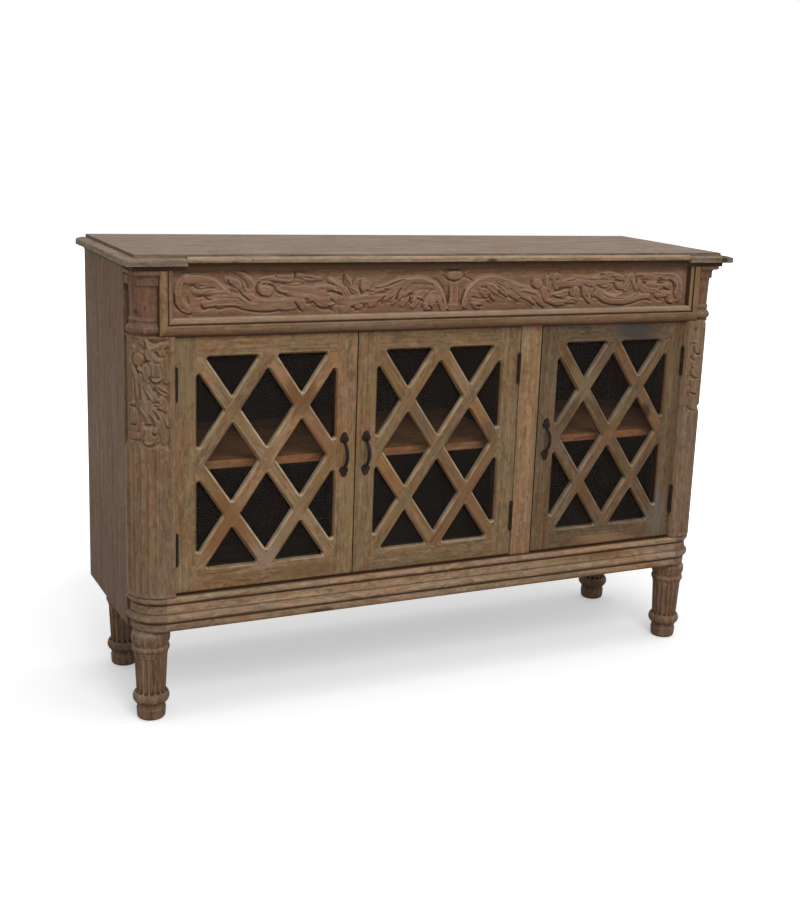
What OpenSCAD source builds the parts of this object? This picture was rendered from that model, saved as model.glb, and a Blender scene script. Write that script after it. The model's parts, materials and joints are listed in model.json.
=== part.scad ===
// Three-door sideboard with lattice doors, rounded corner posts, a frieze band and turned legs.
// Units are millimetres, +Z is up, the fronts of the doors look along -Y.
// Origin: centre of the bounding box in plan, on the floor.

/* [Overall size] */
// Width over the moulded edge of the top
overall_width = 1346; // [1150:1:1500]
// Depth from the front lip of the top to its back edge
overall_depth = 412; // [360:1:480]
// Height from the floor to the surface of the top
overall_height = 915; // [860:1:980]

/* [Top] */
// Thickness of the raised field board of the top
top_board_thickness = 22; // [18:1:26]
// Height of the whole moulded top above the carcass
top_stack_height = 30; // [27:1:36]
// How far the moulded lip stands out past the raised field
lip_width = 20; // [14:1:26]
// How far the lip stands out past the side of the carcass
side_overhang = 16; // [12:1:22]
// How far the lip stands in front of the door faces
front_overhang = 30.5; // [26:0.5:40]
// Setback of the middle of the front lip between its end blocks
break_depth = 3; // [1:0.5:5]
// Distance from the end of the top to the break in its front lip
break_inset = 113; // [90:1:130]

/* [Carcass] */
// Thickness of side panels, partition and bottom board
board_thickness = 20; // [16:1:24]
// Thickness of the thin back panel
back_thickness = 8; // [5:1:12]
// Height of the underside of the base moulding above the floor
base_underside = 190; // [170:1:215]
// Height of the base moulding
base_height = 71; // [60:1:80]
// Width of each corner post
post_width = 77; // [70:1:90]
// Depth of each corner post
post_depth = 71; // [66:1:80]
// How far the corner posts stand in front of the doors
post_proud = 14; // [8:1:18]
// Radius of the rounded outer corner of the posts
post_radius = 58; // [45:1:62]
// Width of the upright between the middle and right doors
mullion_width = 51; // [40:1:70]
// Thickness of the shelves
shelf_thickness = 16; // [12:1:22]
// Height of the shelves above the top of the base moulding
shelf_rise = 234; // [150:1:330]

/* [Frieze] */
// Height of the frieze above the doors
frieze_height = 120.5; // [100:0.5:140]
// Width of the moulded frame beside the frieze panel
frieze_frame_width = 25.5; // [20:0.5:30]
// Height of the moulded frame below the frieze panel
frieze_frame_height = 34; // [28:0.5:40]
// How far the frieze frame sits to the right of the middle
frieze_offset = -4.3; // [-6:0.1:6]
// How far the frieze frame stands in front of the doors
frieze_proud = 16; // [10:1:20]
// Radius of the round column beside the frieze
column_radius = 35; // [30:0.5:38]

/* [Doors] */
// Thickness of the door frames
door_thickness = 24; // [20:1:28]
// Width of the door stiles and rails
door_member = 43; // [36:1:55]
// Gap between a door and what stands beside it
door_gap = 1.8; // [1.6:0.1:3]
// Width of the lattice bars
bar_width = 27; // [22:0.5:34]
// Thickness of the lattice bars
bar_thickness = 12; // [10:0.5:16]
// Chamfer around every opening of the lattice
chamfer = 3.5; // [2:0.5:5]
// Thickness of the glass panes
glass_thickness = 3; // [2.5:0.5:4]

/* [Legs] */
// Greatest radius of the ball at the top of a leg
leg_ball_radius = 37.5; // [33:0.5:40]
// Radius of the fluted shaft where it meets the ball
shaft_top_radius = 31.8; // [28:0.2:34]
// Radius of the fluted shaft above the lower ring
shaft_bottom_radius = 28.5; // [25:0.2:30]
// Number of flutes around a leg
leg_flutes = 16; // [12:1:20]
// Distance of the rear leg centres from the sides of the carcass
rear_leg_inset = 58; // [55:1:80]

/* [Hardware] */
// Length of a hinge
hinge_length = 63; // [50:1:76]
// Outer radius of the hinge knuckles
knuckle_radius = 3.6; // [3:0.1:3.6]
// Radius of the hinge pins
pin_radius = 1.5; // [1.2:0.1:1.8]
// Distance of each hinge's middle from the door's end
hinge_inset = 89; // [60:1:120]
// Length of a door pull over its two leaves
pull_length = 94; // [80:1:120]

/* [Post flutes] */
// Number of flutes around the lower part of a corner post
post_flutes = 6; // [4:1:8]
// Height of the fluted part of a corner post
post_flute_height = 298; // [200:1:340]

/* [Hidden] */
$fn = 64;
eps = 1;
fit = 0.1;
face_y = -overall_depth / 2 + front_overhang;
back_y = overall_depth / 2;
body_half = overall_width / 2 - side_overhang;
body_back = back_y - 5;
carcass_top = overall_height - top_stack_height;
base_top = base_underside + base_height;
frieze_bottom = carcass_top - frieze_height;
post_inner = body_half - post_width;
post_front = face_y - post_proud;
panel_front = post_front + post_depth;
clear_width = 2 * post_inner;
bay_width = (clear_width - mullion_width) / 3;
mullion_left = post_inner - bay_width - mullion_width;
mullion_right = post_inner - bay_width;
door_width = bay_width - door_gap * 2 + 0.6;
door_bottom = base_top + 1.7;
door_top = frieze_bottom - 1.8;
door_height = door_top - door_bottom;
opening_width = door_width - 2 * door_member;
rail_bottom_height = door_member + 2;
rail_top_height = door_member - 3;
opening_bottom = rail_bottom_height;
opening_height = door_height - rail_bottom_height - rail_top_height;
inner_front = face_y + door_thickness + 2;
field_half = overall_width / 2 - lip_width;
field_front = -overall_depth / 2 + lip_width;
top_underside = overall_height - top_board_thickness;
lip_high = overall_height - 11;
lip_low = lip_high - 9.5;
back_batten = 40;
back_rail_height = base_height - (board_thickness - 2) - 1;
frieze_half = post_inner + 24;
dado = 6;
inner_back = body_back - back_thickness;
partition_x = (mullion_left + mullion_right) / 2;
shelf_z = base_top + shelf_rise;
shelf_front = face_y + 40;
rebate_depth = bar_thickness;
rebate_width = 9;
tenon_reach = 8;
tenon_front = bar_thickness / 3;
tenon_back = bar_thickness * 3 / 4;
lap_depth = bar_thickness / 2;
tenon_cheek = 3;
ear = 0.3;
shoulder_gap = 0.05;
leg_x = body_half - 41;
leg_front_y = post_front + 52;
leg_rear_y = body_back - 52;
rear_leg_x = body_half - rear_leg_inset;
pin_clearance = 0.05;
hinge_leaf = 1.2;
knuckle_gap = 0.15;
axis_in = 4.2;
axis_out = 4.2;

wood = [0.66, 0.53, 0.42];
wood_pink = [0.68, 0.50, 0.42];
wood_dark = [0.25, 0.19, 0.15];
iron = [0.13, 0.11, 0.10];
pane = [0.75, 0.82, 0.82, 0.35];

function arc_points(cx, cy, r, a0, a1, steps) =
  [for (i = [0:steps]) [cx + r * cos(a0 + (a1 - a0) * i / steps), cy + r * sin(a0 + (a1 - a0) * i / steps)]];

function ellipse_points(cx, cy, rx, ry, a0, a1, steps) =
  [for (i = [0:steps]) [cx + rx * cos(a0 + (a1 - a0) * i / steps), cy + ry * sin(a0 + (a1 - a0) * i / steps)]];

// A block whose outer front vertical edge is rounded; the outer side is +X, the front is -Y.
module rounded_block(w, d, h, r) {
  difference() {
    cube([w, d, h]);
    translate([w - r, 0, 0]) difference() {
      translate([0, -eps, -eps]) cube([r + eps, r + eps, h + 2 * eps]);
      translate([0, r, -2 * eps]) cylinder(r = r, h = h + 4 * eps);
    }
  }
}

// Bar of a given outline extruded along +X; the outline is (y, z).
module along_x(length, outline) {
  rotate([90, 0, 90]) linear_extrude(height = length) polygon(outline);
}

module on_right(side) {
  if (side > 0) children();
  else mirror([1, 0, 0]) children();
}

// Outline of the top's moulding: first value out from the field, second value height.
function lip_outline() = concat(
  [[-back_batten, carcass_top], [lip_width - side_overhang, carcass_top], [lip_width - side_overhang, lip_low],
    [lip_width - 1, lip_low], [lip_width, lip_low + 1], [lip_width, lip_high]],
  [for (i = [1:6])
    [lip_width - 16 + 16 * cos(15 * i), lip_high + 5 * sin(15 * i)]],
  [[0, lip_high + 5], [0, top_underside], [-back_batten, top_underside]]
);

function lip_xy() = [for (p = lip_outline()) [-p[0], p[1]]];

// Long moulding whose ends are cut at 45 degrees; its field edge runs along y = 0.
module lip_run(length, mitre_start, mitre_end) {
  long = length + 2 * overall_depth;
  difference() {
    translate([-overall_depth, 0, 0]) along_x(long, lip_xy());
    if (mitre_start) translate([0, 0, carcass_top - eps]) rotate([0, 0, 45])
      translate([-overall_depth * 2, 0, 0]) cube([overall_depth * 4, overall_depth * 2, 60]);
    if (!mitre_start) translate([-overall_depth - eps, -100, carcass_top - eps])
      cube([overall_depth + eps, 200, 60]);
    if (mitre_end) translate([length, 0, carcass_top - eps]) rotate([0, 0, -45])
      translate([-overall_depth * 2, 0, 0]) cube([overall_depth * 4, overall_depth * 2, 60]);
    if (!mitre_end) translate([length, -100, carcass_top - eps])
      cube([overall_depth + eps, 200, 60]);
  }
}

module top_board() {
  color(wood) translate([-field_half, field_front, top_underside])
    cube([2 * field_half, back_y - field_front, top_board_thickness]);
}

module top_edge_front() {
  end_length = break_inset - lip_width;
  color(wood) difference() {
    translate([-field_half, field_front, 0]) lip_run(2 * field_half, true, true);
    difference() {
      translate([-field_half + end_length, -overall_depth / 2 - eps, carcass_top - eps])
        cube([2 * (field_half - end_length), lip_width + 41 + eps, top_stack_height + 2 * eps]);
      translate([-field_half + end_length - eps, field_front + break_depth, 0])
        along_x(2 * (field_half - end_length) + 2 * eps, lip_xy());
    }
  }
}

module top_edge_side(side) {
  color(wood) on_right(side) translate([field_half, field_front, 0]) rotate([0, 0, 90])
    lip_run(back_y - field_front, true, false);
}

module top_edge_back() {
  half = field_half - back_batten - fit;
  color(wood) translate([-half, back_y - back_batten, carcass_top])
    cube([2 * half, back_batten, top_underside - carcass_top]);
}

module side_panel(side) {
  width = body_back - panel_front;
  height = carcass_top - base_underside;
  inner = body_half - board_thickness;
  color(wood) on_right(side) difference() {
    translate([inner, panel_front, base_underside]) cube([board_thickness, width, height]);
    translate([inner - eps, body_back - back_thickness - fit, base_underside + back_rail_height])
      cube([8 + eps, back_thickness + fit + eps, height]);
    translate([inner - eps, panel_front - eps, base_top - board_thickness + 2 - fit])
      cube([dado + eps, inner_back - panel_front + 2 * eps, board_thickness - 2 + 2 * fit]);
    for (part = [1, 2])
      translate([body_half, panel_front + width * part / 3, base_underside - eps])
        rotate([0, 0, 45]) translate([-1, -1, 0]) cube([2, 2, height + 2 * eps]);
  }
}

module back_panel() {
  half = body_half - board_thickness + 8 - fit;
  start = base_underside + back_rail_height + 1 + fit;
  color(wood_dark) translate([-half, body_back - back_thickness, start])
    cube([2 * half, back_thickness, carcass_top - start - fit]);
}

module back_rail() {
  half = body_half - board_thickness - fit;
  color(wood) translate([-half, body_back - board_thickness, base_underside])
    cube([2 * half, board_thickness + 4, back_rail_height - fit]);
}

module bottom_board() {
  thick = board_thickness - 2;
  reach = body_half - board_thickness + dado - fit;
  inner = post_inner;
  color(wood_dark) union() {
    translate([-reach, panel_front + fit, base_top - thick])
      cube([2 * reach, inner_back - panel_front - 2 * fit, thick]);
    translate([-inner + fit, inner_front, base_top - thick])
      cube([2 * inner - 2 * fit, panel_front - inner_front + 1, thick]);
  }
}

module partition() {
  color(wood_dark) translate([partition_x - board_thickness / 2, inner_front, base_top])
    cube([board_thickness, inner_back - inner_front - fit, carcass_top - base_top]);
}

module mullion() {
  top = frieze_bottom;
  edge = 2;
  color(wood) translate([mullion_left, face_y, base_top])
    linear_extrude(height = top - base_top)
    polygon([[0, edge], [edge, 0], [mullion_width - edge, 0], [mullion_width, edge],
      [mullion_width, door_thickness + 2], [0, door_thickness + 2]]);
}

module shelf(left, right, front_left, front_right) {
  color(wood) union() {
    translate([left, panel_front + fit, shelf_z])
      cube([right - left, inner_back - panel_front - 2 * fit, shelf_thickness]);
    translate([front_left, shelf_front, shelf_z])
      cube([front_right - front_left, panel_front - shelf_front + 1, shelf_thickness]);
  }
}

module shelf_wide() {
  right = partition_x - board_thickness / 2 - fit;
  shelf(-body_half + board_thickness + fit, right, -post_inner + fit, right);
}

module shelf_narrow() {
  left = partition_x + board_thickness / 2 + fit;
  shelf(left, body_half - board_thickness - fit, left, post_inner - fit);
}

module shelf_cleats() {
  size = 14;
  start = panel_front + 20;
  length = inner_back - start - 20;
  color(wood_dark) for (x = [-body_half + board_thickness, partition_x - board_thickness / 2 - size,
      partition_x + board_thickness / 2, body_half - board_thickness - size])
    translate([x, start, shelf_z - size]) cube([size, length, size]);
}

module frieze_panel() {
  color(wood_pink) translate([frieze_offset - frieze_half, face_y + 2, frieze_bottom])
    cube([2 * frieze_half, door_thickness, frieze_height]);
}

// Outline of the frieze frame: first value inward from its outer edge, second value forward.
function frame_outline(width, proud) = concat(
  [[0, 0]],
  [for (i = [0:6]) [width * 0.3 - width * 0.3 * cos(15 * i), proud - 4 + 4 * sin(15 * i)]],
  [for (i = [1:4]) [width * 0.3 + width * 0.29 * sin(22.5 * i), proud - 1.6 + 1.6 * cos(22.5 * i)]],
  [[width * 0.6, proud - 4], [width * 0.66, proud - 4]],
  [for (i = [1:6]) [width * 0.83 - width * 0.17 * cos(30 * i), proud - 4 + 2 * sin(30 * i)]],
  [[width, 0]]
);

module frame_bar(length, width, proud) {
  along_x(length, [for (p = frame_outline(width, proud)) [-p[1], p[0]]]);
}

// Everything on the outer side of the mitre; each piece is cut a hair inside it.
module frame_cutter() {
  rotate([0, -atan(frieze_frame_width / frieze_frame_height), 0]) children();
}

module frieze_mould_bottom() {
  color(wood) translate([frieze_offset, face_y + 2, frieze_bottom]) difference() {
    translate([-frieze_half, 0, 0]) frame_bar(2 * frieze_half, frieze_frame_height, frieze_proud + 2);
    for (side = [-1, 1]) on_right(side) translate([frieze_half - 0.02, -40, 0]) frame_cutter()
      translate([0, 0, -120]) cube([120, 60, 240]);
  }
}

module frieze_mould_sides() {
  color(wood) translate([frieze_offset, face_y + 2, frieze_bottom]) for (side = [-1, 1])
    on_right(side) difference() {
      translate([frieze_half, 0, 0]) rotate([0, -90, 0])
        frame_bar(frieze_height, frieze_frame_width, frieze_proud + 2);
      translate([frieze_half, -40, 0.02]) frame_cutter() translate([-120, 0, -120]) cube([120, 60, 240]);
    }
}

module post_flute_cutters() {
  cx = body_half - post_radius;
  cy = post_front + post_radius;
  for (i = [0:post_flutes - 1]) {
    a = 90 * (i + 0.5) / post_flutes;
    translate([cx + (post_radius + 2.2) * sin(a), cy - (post_radius + 2.2) * cos(a), base_top + 2])
      cylinder(r = 6, h = post_flute_height - 8, $fn = 32);
  }
}

module corner_post(side) {
  color(wood) on_right(side) difference() {
    translate([post_inner, post_front, base_top])
      rounded_block(post_width, post_depth, frieze_bottom - base_top, post_radius);
    post_flute_cutters();
  }
}

function column_outline() = concat(
  [[0, 0], [column_radius + 1, 0]],
  arc_points(column_radius - 4, 11, 10, -60, 60, 6),
  [[column_radius, 22], [column_radius, 25]],
  arc_points(column_radius - 2.5, 29, 4, -60, 60, 4),
  [[column_radius - 1.5, 35], [column_radius - 1, 60], [column_radius, frieze_height - 27], [0, frieze_height - 27]]
);

function cap_edge(side) = frieze_half + side * frieze_offset + 0.5;

module post_column(side) {
  color(wood) on_right(side) intersection() {
    translate([body_half - 40, post_front + 47, frieze_bottom])
      rotate_extrude($fn = 96) polygon(column_outline());
    translate([cap_edge(side), post_front - 20, frieze_bottom - eps])
      cube([80, panel_front - 1 - post_front + 20, frieze_height]);
  }
}

module post_cap(side) {
  z0 = carcass_top - 27;
  x0 = cap_edge(side);
  depth = panel_front - 1 - post_front;
  wide = body_half - x0;
  color(wood) on_right(side) union() {
    translate([x0, post_front + 6, z0]) rounded_block(wide - 1, depth - 6, 16, 40);
    translate([x0, post_front + 4, z0 + 16]) rounded_block(wide - 3, depth - 4, 4, 34);
    translate([x0, post_front - 2, z0 + 20]) rounded_block(wide + 2, depth + 2, 7, 24);
  }
}

// Outline of the base moulding: first value forward from the core, second value height.
function base_outline() = let (k = base_height / 71, b = base_underside) concat(
  [[0, b], [9, b], [10, b + 2 * k], [10, b + 12 * k], [8.5, b + 15 * k], [8.5, b + 18 * k],
    [11, b + 19 * k]],
  ellipse_points(9, b + 26.5 * k, 8.3, 8.3 * k, -65, 65, 8),
  [[11.5, b + 36 * k], [10.6, b + 42 * k], [10.3, b + 48 * k], [10.6, b + 53.5 * k],
    [11, b + 54.5 * k], [12, b + 56 * k]],
  ellipse_points(9, b + 63.2 * k, 7.2, 7.2 * k, -60, 75, 8),
  [[9, b + base_height], [0, b + base_height]]
);

module base_front() {
  half = post_inner + 16;
  depth = inner_front - face_y + 14.5;
  core = 16;
  color(wood) translate([-half, post_front, 0]) union() {
    along_x(2 * half, [for (p = base_outline()) [core - p[0], p[1]]]);
    translate([0, core, base_underside]) cube([2 * half, 4, base_height]);
    translate([16 + 0.2, core + 4, base_underside])
      cube([2 * half - 32.4, inner_front - post_front - core - 4 - fit, base_height]);
  }
}

module base_corner(side) {
  x0 = post_inner + 16;
  core = 16;
  r = body_half - x0 - core;
  cy = post_front + core + r;
  color(wood) on_right(side) difference() {
    union() {
      translate([x0, cy, 0]) rotate([0, 0, -90]) rotate_extrude(angle = 90, $fn = 96)
        polygon([for (p = base_outline()) [p[0] == 0 ? 0 : r + p[0], p[1]]]);
      translate([x0, panel_front - 0.5, 0]) rotate([0, 0, 0]) rotate([90, 0, 0])
        linear_extrude(height = panel_front - 0.5 - cy)
        polygon([for (p = base_outline()) [p[0] == 0 ? 0 : r + p[0], p[1]]]);
      translate([post_inner, post_front + core + 4 + 0.2, base_underside])
        cube([16 + eps, panel_front - 0.7 - post_front - core - 4, base_height]);
    }
    translate([leg_x, leg_front_y, base_underside - eps]) cylinder(r = 12.6, h = 36);
  }
}

function leg_outline() = concat(
  [[0, 0], [20.5, 0]],
  arc_points(20.5, 7, 7, -75, 0, 5),
  [[28.5, 22], [26.8, 23.5], [27.2, 29], [29, 33]],
  arc_points(20.6, 46, 14.9, -50, 50, 8),
  [[shaft_bottom_radius + 0.4, 59.5], [shaft_bottom_radius, 61], [shaft_top_radius, 132],
    [shaft_top_radius + 0.4, 135], [shaft_top_radius + 1.6, 140]],
  arc_points(leg_ball_radius - 9, 148, 8, -50, 50, 6),
  [[34.2, 156], [34.2, 158]],
  ellipse_points(leg_ball_radius - 17.5, 171, 17.5, 24, -30, 0, 4),
  ellipse_points(leg_ball_radius - 17.5, 171, 17.5, 19, 8, 56, 6),
  [[29, base_underside], [12.5, base_underside], [12.5, base_underside + 30], [11, base_underside + 32],
    [0, base_underside + 32]]
);

module leg(x, y) {
  drop = 75;
  lean = atan((shaft_top_radius - shaft_bottom_radius) / 71);
  translate([x, y, 0]) difference() {
    rotate_extrude($fn = 96) polygon(leg_outline());
    for (i = [0:leg_flutes - 1]) rotate([0, 0, 360 * (i + 0.5) / leg_flutes])
      translate([shaft_bottom_radius + 1.1, 0, 56]) rotate([0, lean, 0])
      cylinder(r = 4, h = drop, $fn = 32);
  }
}

module leg_blocks() {
  size = 84;
  thick = board_thickness - 2;
  color(wood_dark) for (side = [-1, 1]) on_right(side) difference() {
    translate([rear_leg_x - size / 2, body_back - board_thickness - fit - size, base_underside])
      cube([body_half - board_thickness - fit - rear_leg_x + size / 2, size, base_height - thick - fit]);
    translate([rear_leg_x, leg_rear_y, base_underside - eps]) cylinder(r = 12.6, h = 36);
  }
}

// Doors. Local frame: x from the door's left edge, z from its bottom, y = 0 at its face.
function bar_lines() = let (w = opening_width, h = opening_height) [
  [[0, 0], [w, h]], [[w / 2, 0], [w, h / 2]], [[0, h / 2], [w / 2, h]]
];

function fall_lines() = let (w = opening_width, h = opening_height) [
  [[w, 0], [0, h]], [[w / 2, 0], [0, h / 2]], [[w, h / 2], [w / 2, h]]
];

module strip(line, width, y0, y1) {
  p = line[0];
  q = line[1];
  a = atan2(q[1] - p[1], q[0] - p[0]);
  l = norm(q - p);
  translate([p[0], y0, p[1]]) rotate([0, -a, 0]) translate([-60, 0, -width / 2])
    cube([l + 120, y1 - y0, width]);
}

// Half-space whose edge runs from p to q, slanted outward over the chamfer; inside is on the left.
module wedge(p, q) {
  a = atan2(q[1] - p[1], q[0] - p[0]);
  l = norm(q - p);
  big = 500;
  translate([p[0], 0, p[1]]) rotate([0, -a, 0]) translate([-big, 0, 0])
    along_x(l + 2 * big, [[-2, -chamfer - 2], [chamfer, 0], [chamfer, big], [-2, big]]);
}

module hole_cutter(points) {
  n = len(points);
  intersection_for(i = [0:n - 1]) wedge(points[i], points[(i + 1) % n]);
}

// The twelve openings between the bars; corners run counter-clockwise seen from the front.
function bar_dx() = bar_width / 2 * norm([opening_width, opening_height]) / opening_height;
function bar_dz() = bar_width / 2 * norm([opening_width, opening_height]) / opening_width;

function diamond(cx, cz) = let (w = opening_width / 4 - bar_dx(), h = opening_height / 4 - bar_dz())
  [[cx - w, cz], [cx, cz - h], [cx + w, cz], [cx, cz + h]];

module hole_cutters() {
  w = opening_width;
  h = opening_height;
  dx = bar_dx();
  dz = bar_dz();
  sw = w / 4 - dx;
  sh = h / 4 - dz;
  translate([door_member, 0, opening_bottom]) {
    for (c = [[w / 2, h / 4], [w / 4, h / 2], [w * 3 / 4, h / 2], [w / 2, h * 3 / 4]])
      hole_cutter(diamond(c[0], c[1]));
    for (c = [w / 4, w * 3 / 4]) {
      hole_cutter([[c - sw, 0], [c + sw, 0], [c, sh]]);
      hole_cutter([[c + sw, h], [c - sw, h], [c, h - sh]]);
    }
    for (c = [h / 4, h * 3 / 4]) {
      hole_cutter([[0, c + sh], [0, c - sh], [sw, c]]);
      hole_cutter([[w, c - sh], [w, c + sh], [w - sw, c]]);
    }
  }
}

module in_opening() {
  translate([door_member, 0, opening_bottom]) children();
}

// A bar: its body ends a hair short of the frame, its tenons run on into the frame's pockets.
module bars(lines) {
  in_opening() {
    intersection() {
      for (line = lines) strip(line, bar_width + 2 * ear, 0, bar_thickness);
      translate([shoulder_gap, 0, shoulder_gap])
        cube([opening_width - 2 * shoulder_gap, bar_thickness, opening_height - 2 * shoulder_gap]);
    }
    intersection() {
      for (line = lines) strip(line, bar_width - tenon_cheek, tenon_front, tenon_back);
      translate([-tenon_reach, tenon_front, -tenon_reach])
        cube([opening_width + 2 * tenon_reach, tenon_back - tenon_front, opening_height + 2 * tenon_reach]);
    }
  }
}

module pockets() {
  in_opening() intersection() {
    for (line = concat(bar_lines(), fall_lines()))
      strip(line, bar_width - tenon_cheek + 2 * fit, tenon_front - fit, tenon_back + fit);
    translate([-tenon_reach - fit, 0, -tenon_reach - fit])
      cube([opening_width + 2 * (tenon_reach + fit), bar_thickness,
        opening_height + 2 * (tenon_reach + fit)]);
  }
}

module rebate() {
  translate([door_member - rebate_width, rebate_depth, opening_bottom - rebate_width])
    cube([opening_width + 2 * rebate_width, door_thickness, opening_height + 2 * rebate_width]);
}

module door_at(index) {
  x = index == 2 ? mullion_right : -post_inner + bay_width * index;
  gap = index == 0 ? door_gap : index == 1 ? 0.6 + 0.6 : door_gap - 0.6;
  translate([x + gap, face_y, door_bottom]) children();
}

module hinge_side(index) {
  if (index == 0) children();
  else translate([door_width, 0, 0]) mirror([1, 0, 0]) children();
}

module leaf_mortises(index) {
  hinge_side(index) for (z = [hinge_inset, door_height - hinge_inset])
    translate([-eps, -eps, z - hinge_length / 2 - fit])
      cube([eps + hinge_leaf + 0.05, 20 + eps + fit, hinge_length + 2 * fit]);
}

module door_stiles(index) {
  color(wood) door_at(index) difference() {
    for (x = [0, door_width - door_member]) translate([x, 0, 0])
      cube([door_member, door_thickness, door_height]);
    for (x = [door_member - 18, door_width - door_member - eps]) {
      translate([x, 7, -eps]) cube([18 + eps, 10 + 2 * fit, rail_bottom_height + eps + fit]);
      translate([x, 7, door_height - rail_top_height - fit])
        cube([18 + eps, 10 + 2 * fit, rail_top_height + fit + eps]);
    }
    rebate();
    pockets();
    hole_cutters();
    leaf_mortises(index);
  }
}

module door_rails(index) {
  span = door_width - 2 * door_member;
  color(wood) door_at(index) difference() {
    union() {
      translate([door_member, 0, 0]) cube([span, door_thickness, rail_bottom_height]);
      translate([door_member - 17, 7 + fit, 0]) cube([span + 34, 10, rail_bottom_height]);
      translate([door_member, 0, door_height - rail_top_height])
        cube([span, door_thickness, rail_top_height]);
      translate([door_member - 17, 7 + fit, door_height - rail_top_height])
        cube([span + 34, 10, rail_top_height]);
    }
    rebate();
    pockets();
    hole_cutters();
  }
}

module lattice_rise(index) {
  color(wood) door_at(index) difference() {
    bars(bar_lines());
    in_opening() for (line = fall_lines())
      strip(line, bar_width + 2 * (ear + fit), lap_depth - 0.05, bar_thickness + eps);
    hole_cutters();
  }
}

module lattice_fall(index) {
  color(wood) door_at(index) difference() {
    bars(fall_lines());
    in_opening() for (line = bar_lines())
      strip(line, bar_width + 2 * (ear + fit), -eps, lap_depth + 0.05);
    hole_cutters();
  }
}

module door_glass(index) {
  reach = rebate_width - 1;
  color(pane) door_at(index)
    translate([door_member - reach, rebate_depth + 0.1, opening_bottom - reach])
    cube([opening_width + 2 * reach, glass_thickness, opening_height + 2 * reach]);
}

module door_beads(index) {
  w = rebate_width - 0.5;
  y0 = rebate_depth + 0.2 + glass_thickness;
  t = door_thickness - y0;
  x0 = door_member - rebate_width;
  x1 = door_member + opening_width + rebate_width;
  z0 = opening_bottom - rebate_width;
  z1 = opening_bottom + opening_height + rebate_width;
  color(wood) door_at(index) {
    for (x = [x0, x1 - w]) translate([x, y0, z0]) cube([w, t, z1 - z0]);
    for (z = [z0, z1 - w]) translate([x0 + w + fit, y0, z]) cube([x1 - x0 - 2 * w - 2 * fit, t, w]);
  }
}

// Door pull: a bow between two leaf-shaped plates.
module pull_leaf() {
  thick = 3;
  rotate([90, 0, 0]) union() {
    for (s = [-1, 1]) translate([s * 5, 6, 0]) cylinder(r = 4.6, h = thick);
    translate([0, 11, 0]) cylinder(r = 6.4, h = thick);
    translate([0, 18, 0]) cylinder(r = 4, h = thick);
    translate([0, 22.5, 0]) cylinder(r = 2.2, h = thick);
    translate([-3, -1, 0]) cube([6, 10, thick]);
  }
}

module door_pull(index) {
  x = index == 0 ? door_width - door_member / 2 - 2 : door_member / 2;
  z = door_height / 2 + 2;
  leaf_start = pull_length / 2 - 25;
  reach = 20;
  sagitta = reach - 3;
  bow_radius = (leaf_start * leaf_start + sagitta * sagitta) / (2 * sagitta);
  half_angle = asin(leaf_start / bow_radius);
  color(iron) door_at(index) translate([x, 0, z]) intersection() {
    union() {
      for (s = [0, 1]) mirror([0, 0, s]) translate([0, 0, leaf_start]) pull_leaf();
      translate([0, bow_radius - reach, 0]) rotate([0, 90, 0]) rotate([0, 0, 270 - half_angle])
        rotate_extrude(angle = 2 * half_angle, $fn = 96)
        translate([bow_radius, 0]) circle(r = 3.2, $fn = 24);
    }
    translate([-40, -60, -100]) cube([80, 60, 200]);
  }
}

// Hinges. Local frame: x = 0 at the face of the fixed member, the door on the +X side.
module hinge_axis(index) {
  x = index == 0 ? -post_inner : index == 1 ? mullion_left : post_inner;
  for (z = [hinge_inset, door_height - hinge_inset])
    translate([x, face_y, door_bottom + z - hinge_length / 2])
      mirror([index == 0 ? 0 : 1, 0, 0]) children();
}

module barrel(z0, z1) {
  translate([axis_in, -axis_out, z0]) cylinder(r = knuckle_radius, h = z1 - z0);
}

function knuckle_z(i) = hinge_length * i / 5;

module cabinet_leaf() {
  difference() {
    union() {
      translate([0.05, 0.5, 0]) cube([hinge_leaf - 0.6, 19, hinge_length]);
      for (i = [0, 2, 4]) {
        barrel(knuckle_z(i) + knuckle_gap, knuckle_z(i + 1) - knuckle_gap);
        translate([0.05, -axis_out, knuckle_z(i) + knuckle_gap])
          cube([1.2, axis_out + 0.6, hinge_length / 5 - 2 * knuckle_gap]);
      }
    }
    translate([axis_in, -axis_out, -eps])
      cylinder(r = pin_radius + 0.02, h = hinge_length + 2 * eps);
  }
}

module door_leaf() {
  difference() {
    union() {
      translate([door_gap + 0.05, 0.6, 0]) cube([hinge_leaf, 18.8, hinge_length]);
      for (i = [1, 3]) {
        barrel(knuckle_z(i) + knuckle_gap, knuckle_z(i + 1) - knuckle_gap);
        translate([door_gap + 0.05, -axis_out + 1, knuckle_z(i) + knuckle_gap])
          cube([hinge_leaf, axis_out, hinge_length / 5 - 2 * knuckle_gap]);
      }
    }
    translate([axis_in, -axis_out, -eps])
      cylinder(r = pin_radius + pin_clearance, h = hinge_length + 2 * eps);
  }
}

module hinge_leaves_cabinet() {
  color(iron) for (index = [0, 1, 2]) hinge_axis(index) cabinet_leaf();
}

module hinge_pins() {
  color(iron) for (index = [0, 1, 2]) hinge_axis(index)
    translate([axis_in, -axis_out, -1.5]) union() {
      cylinder(r = pin_radius, h = hinge_length + 3);
      cylinder(r = pin_radius + 1, h = 1.5);
    }
}

module door_hinge_leaves(index) {
  color(iron) hinge_axis(index) door_leaf();
}

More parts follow.
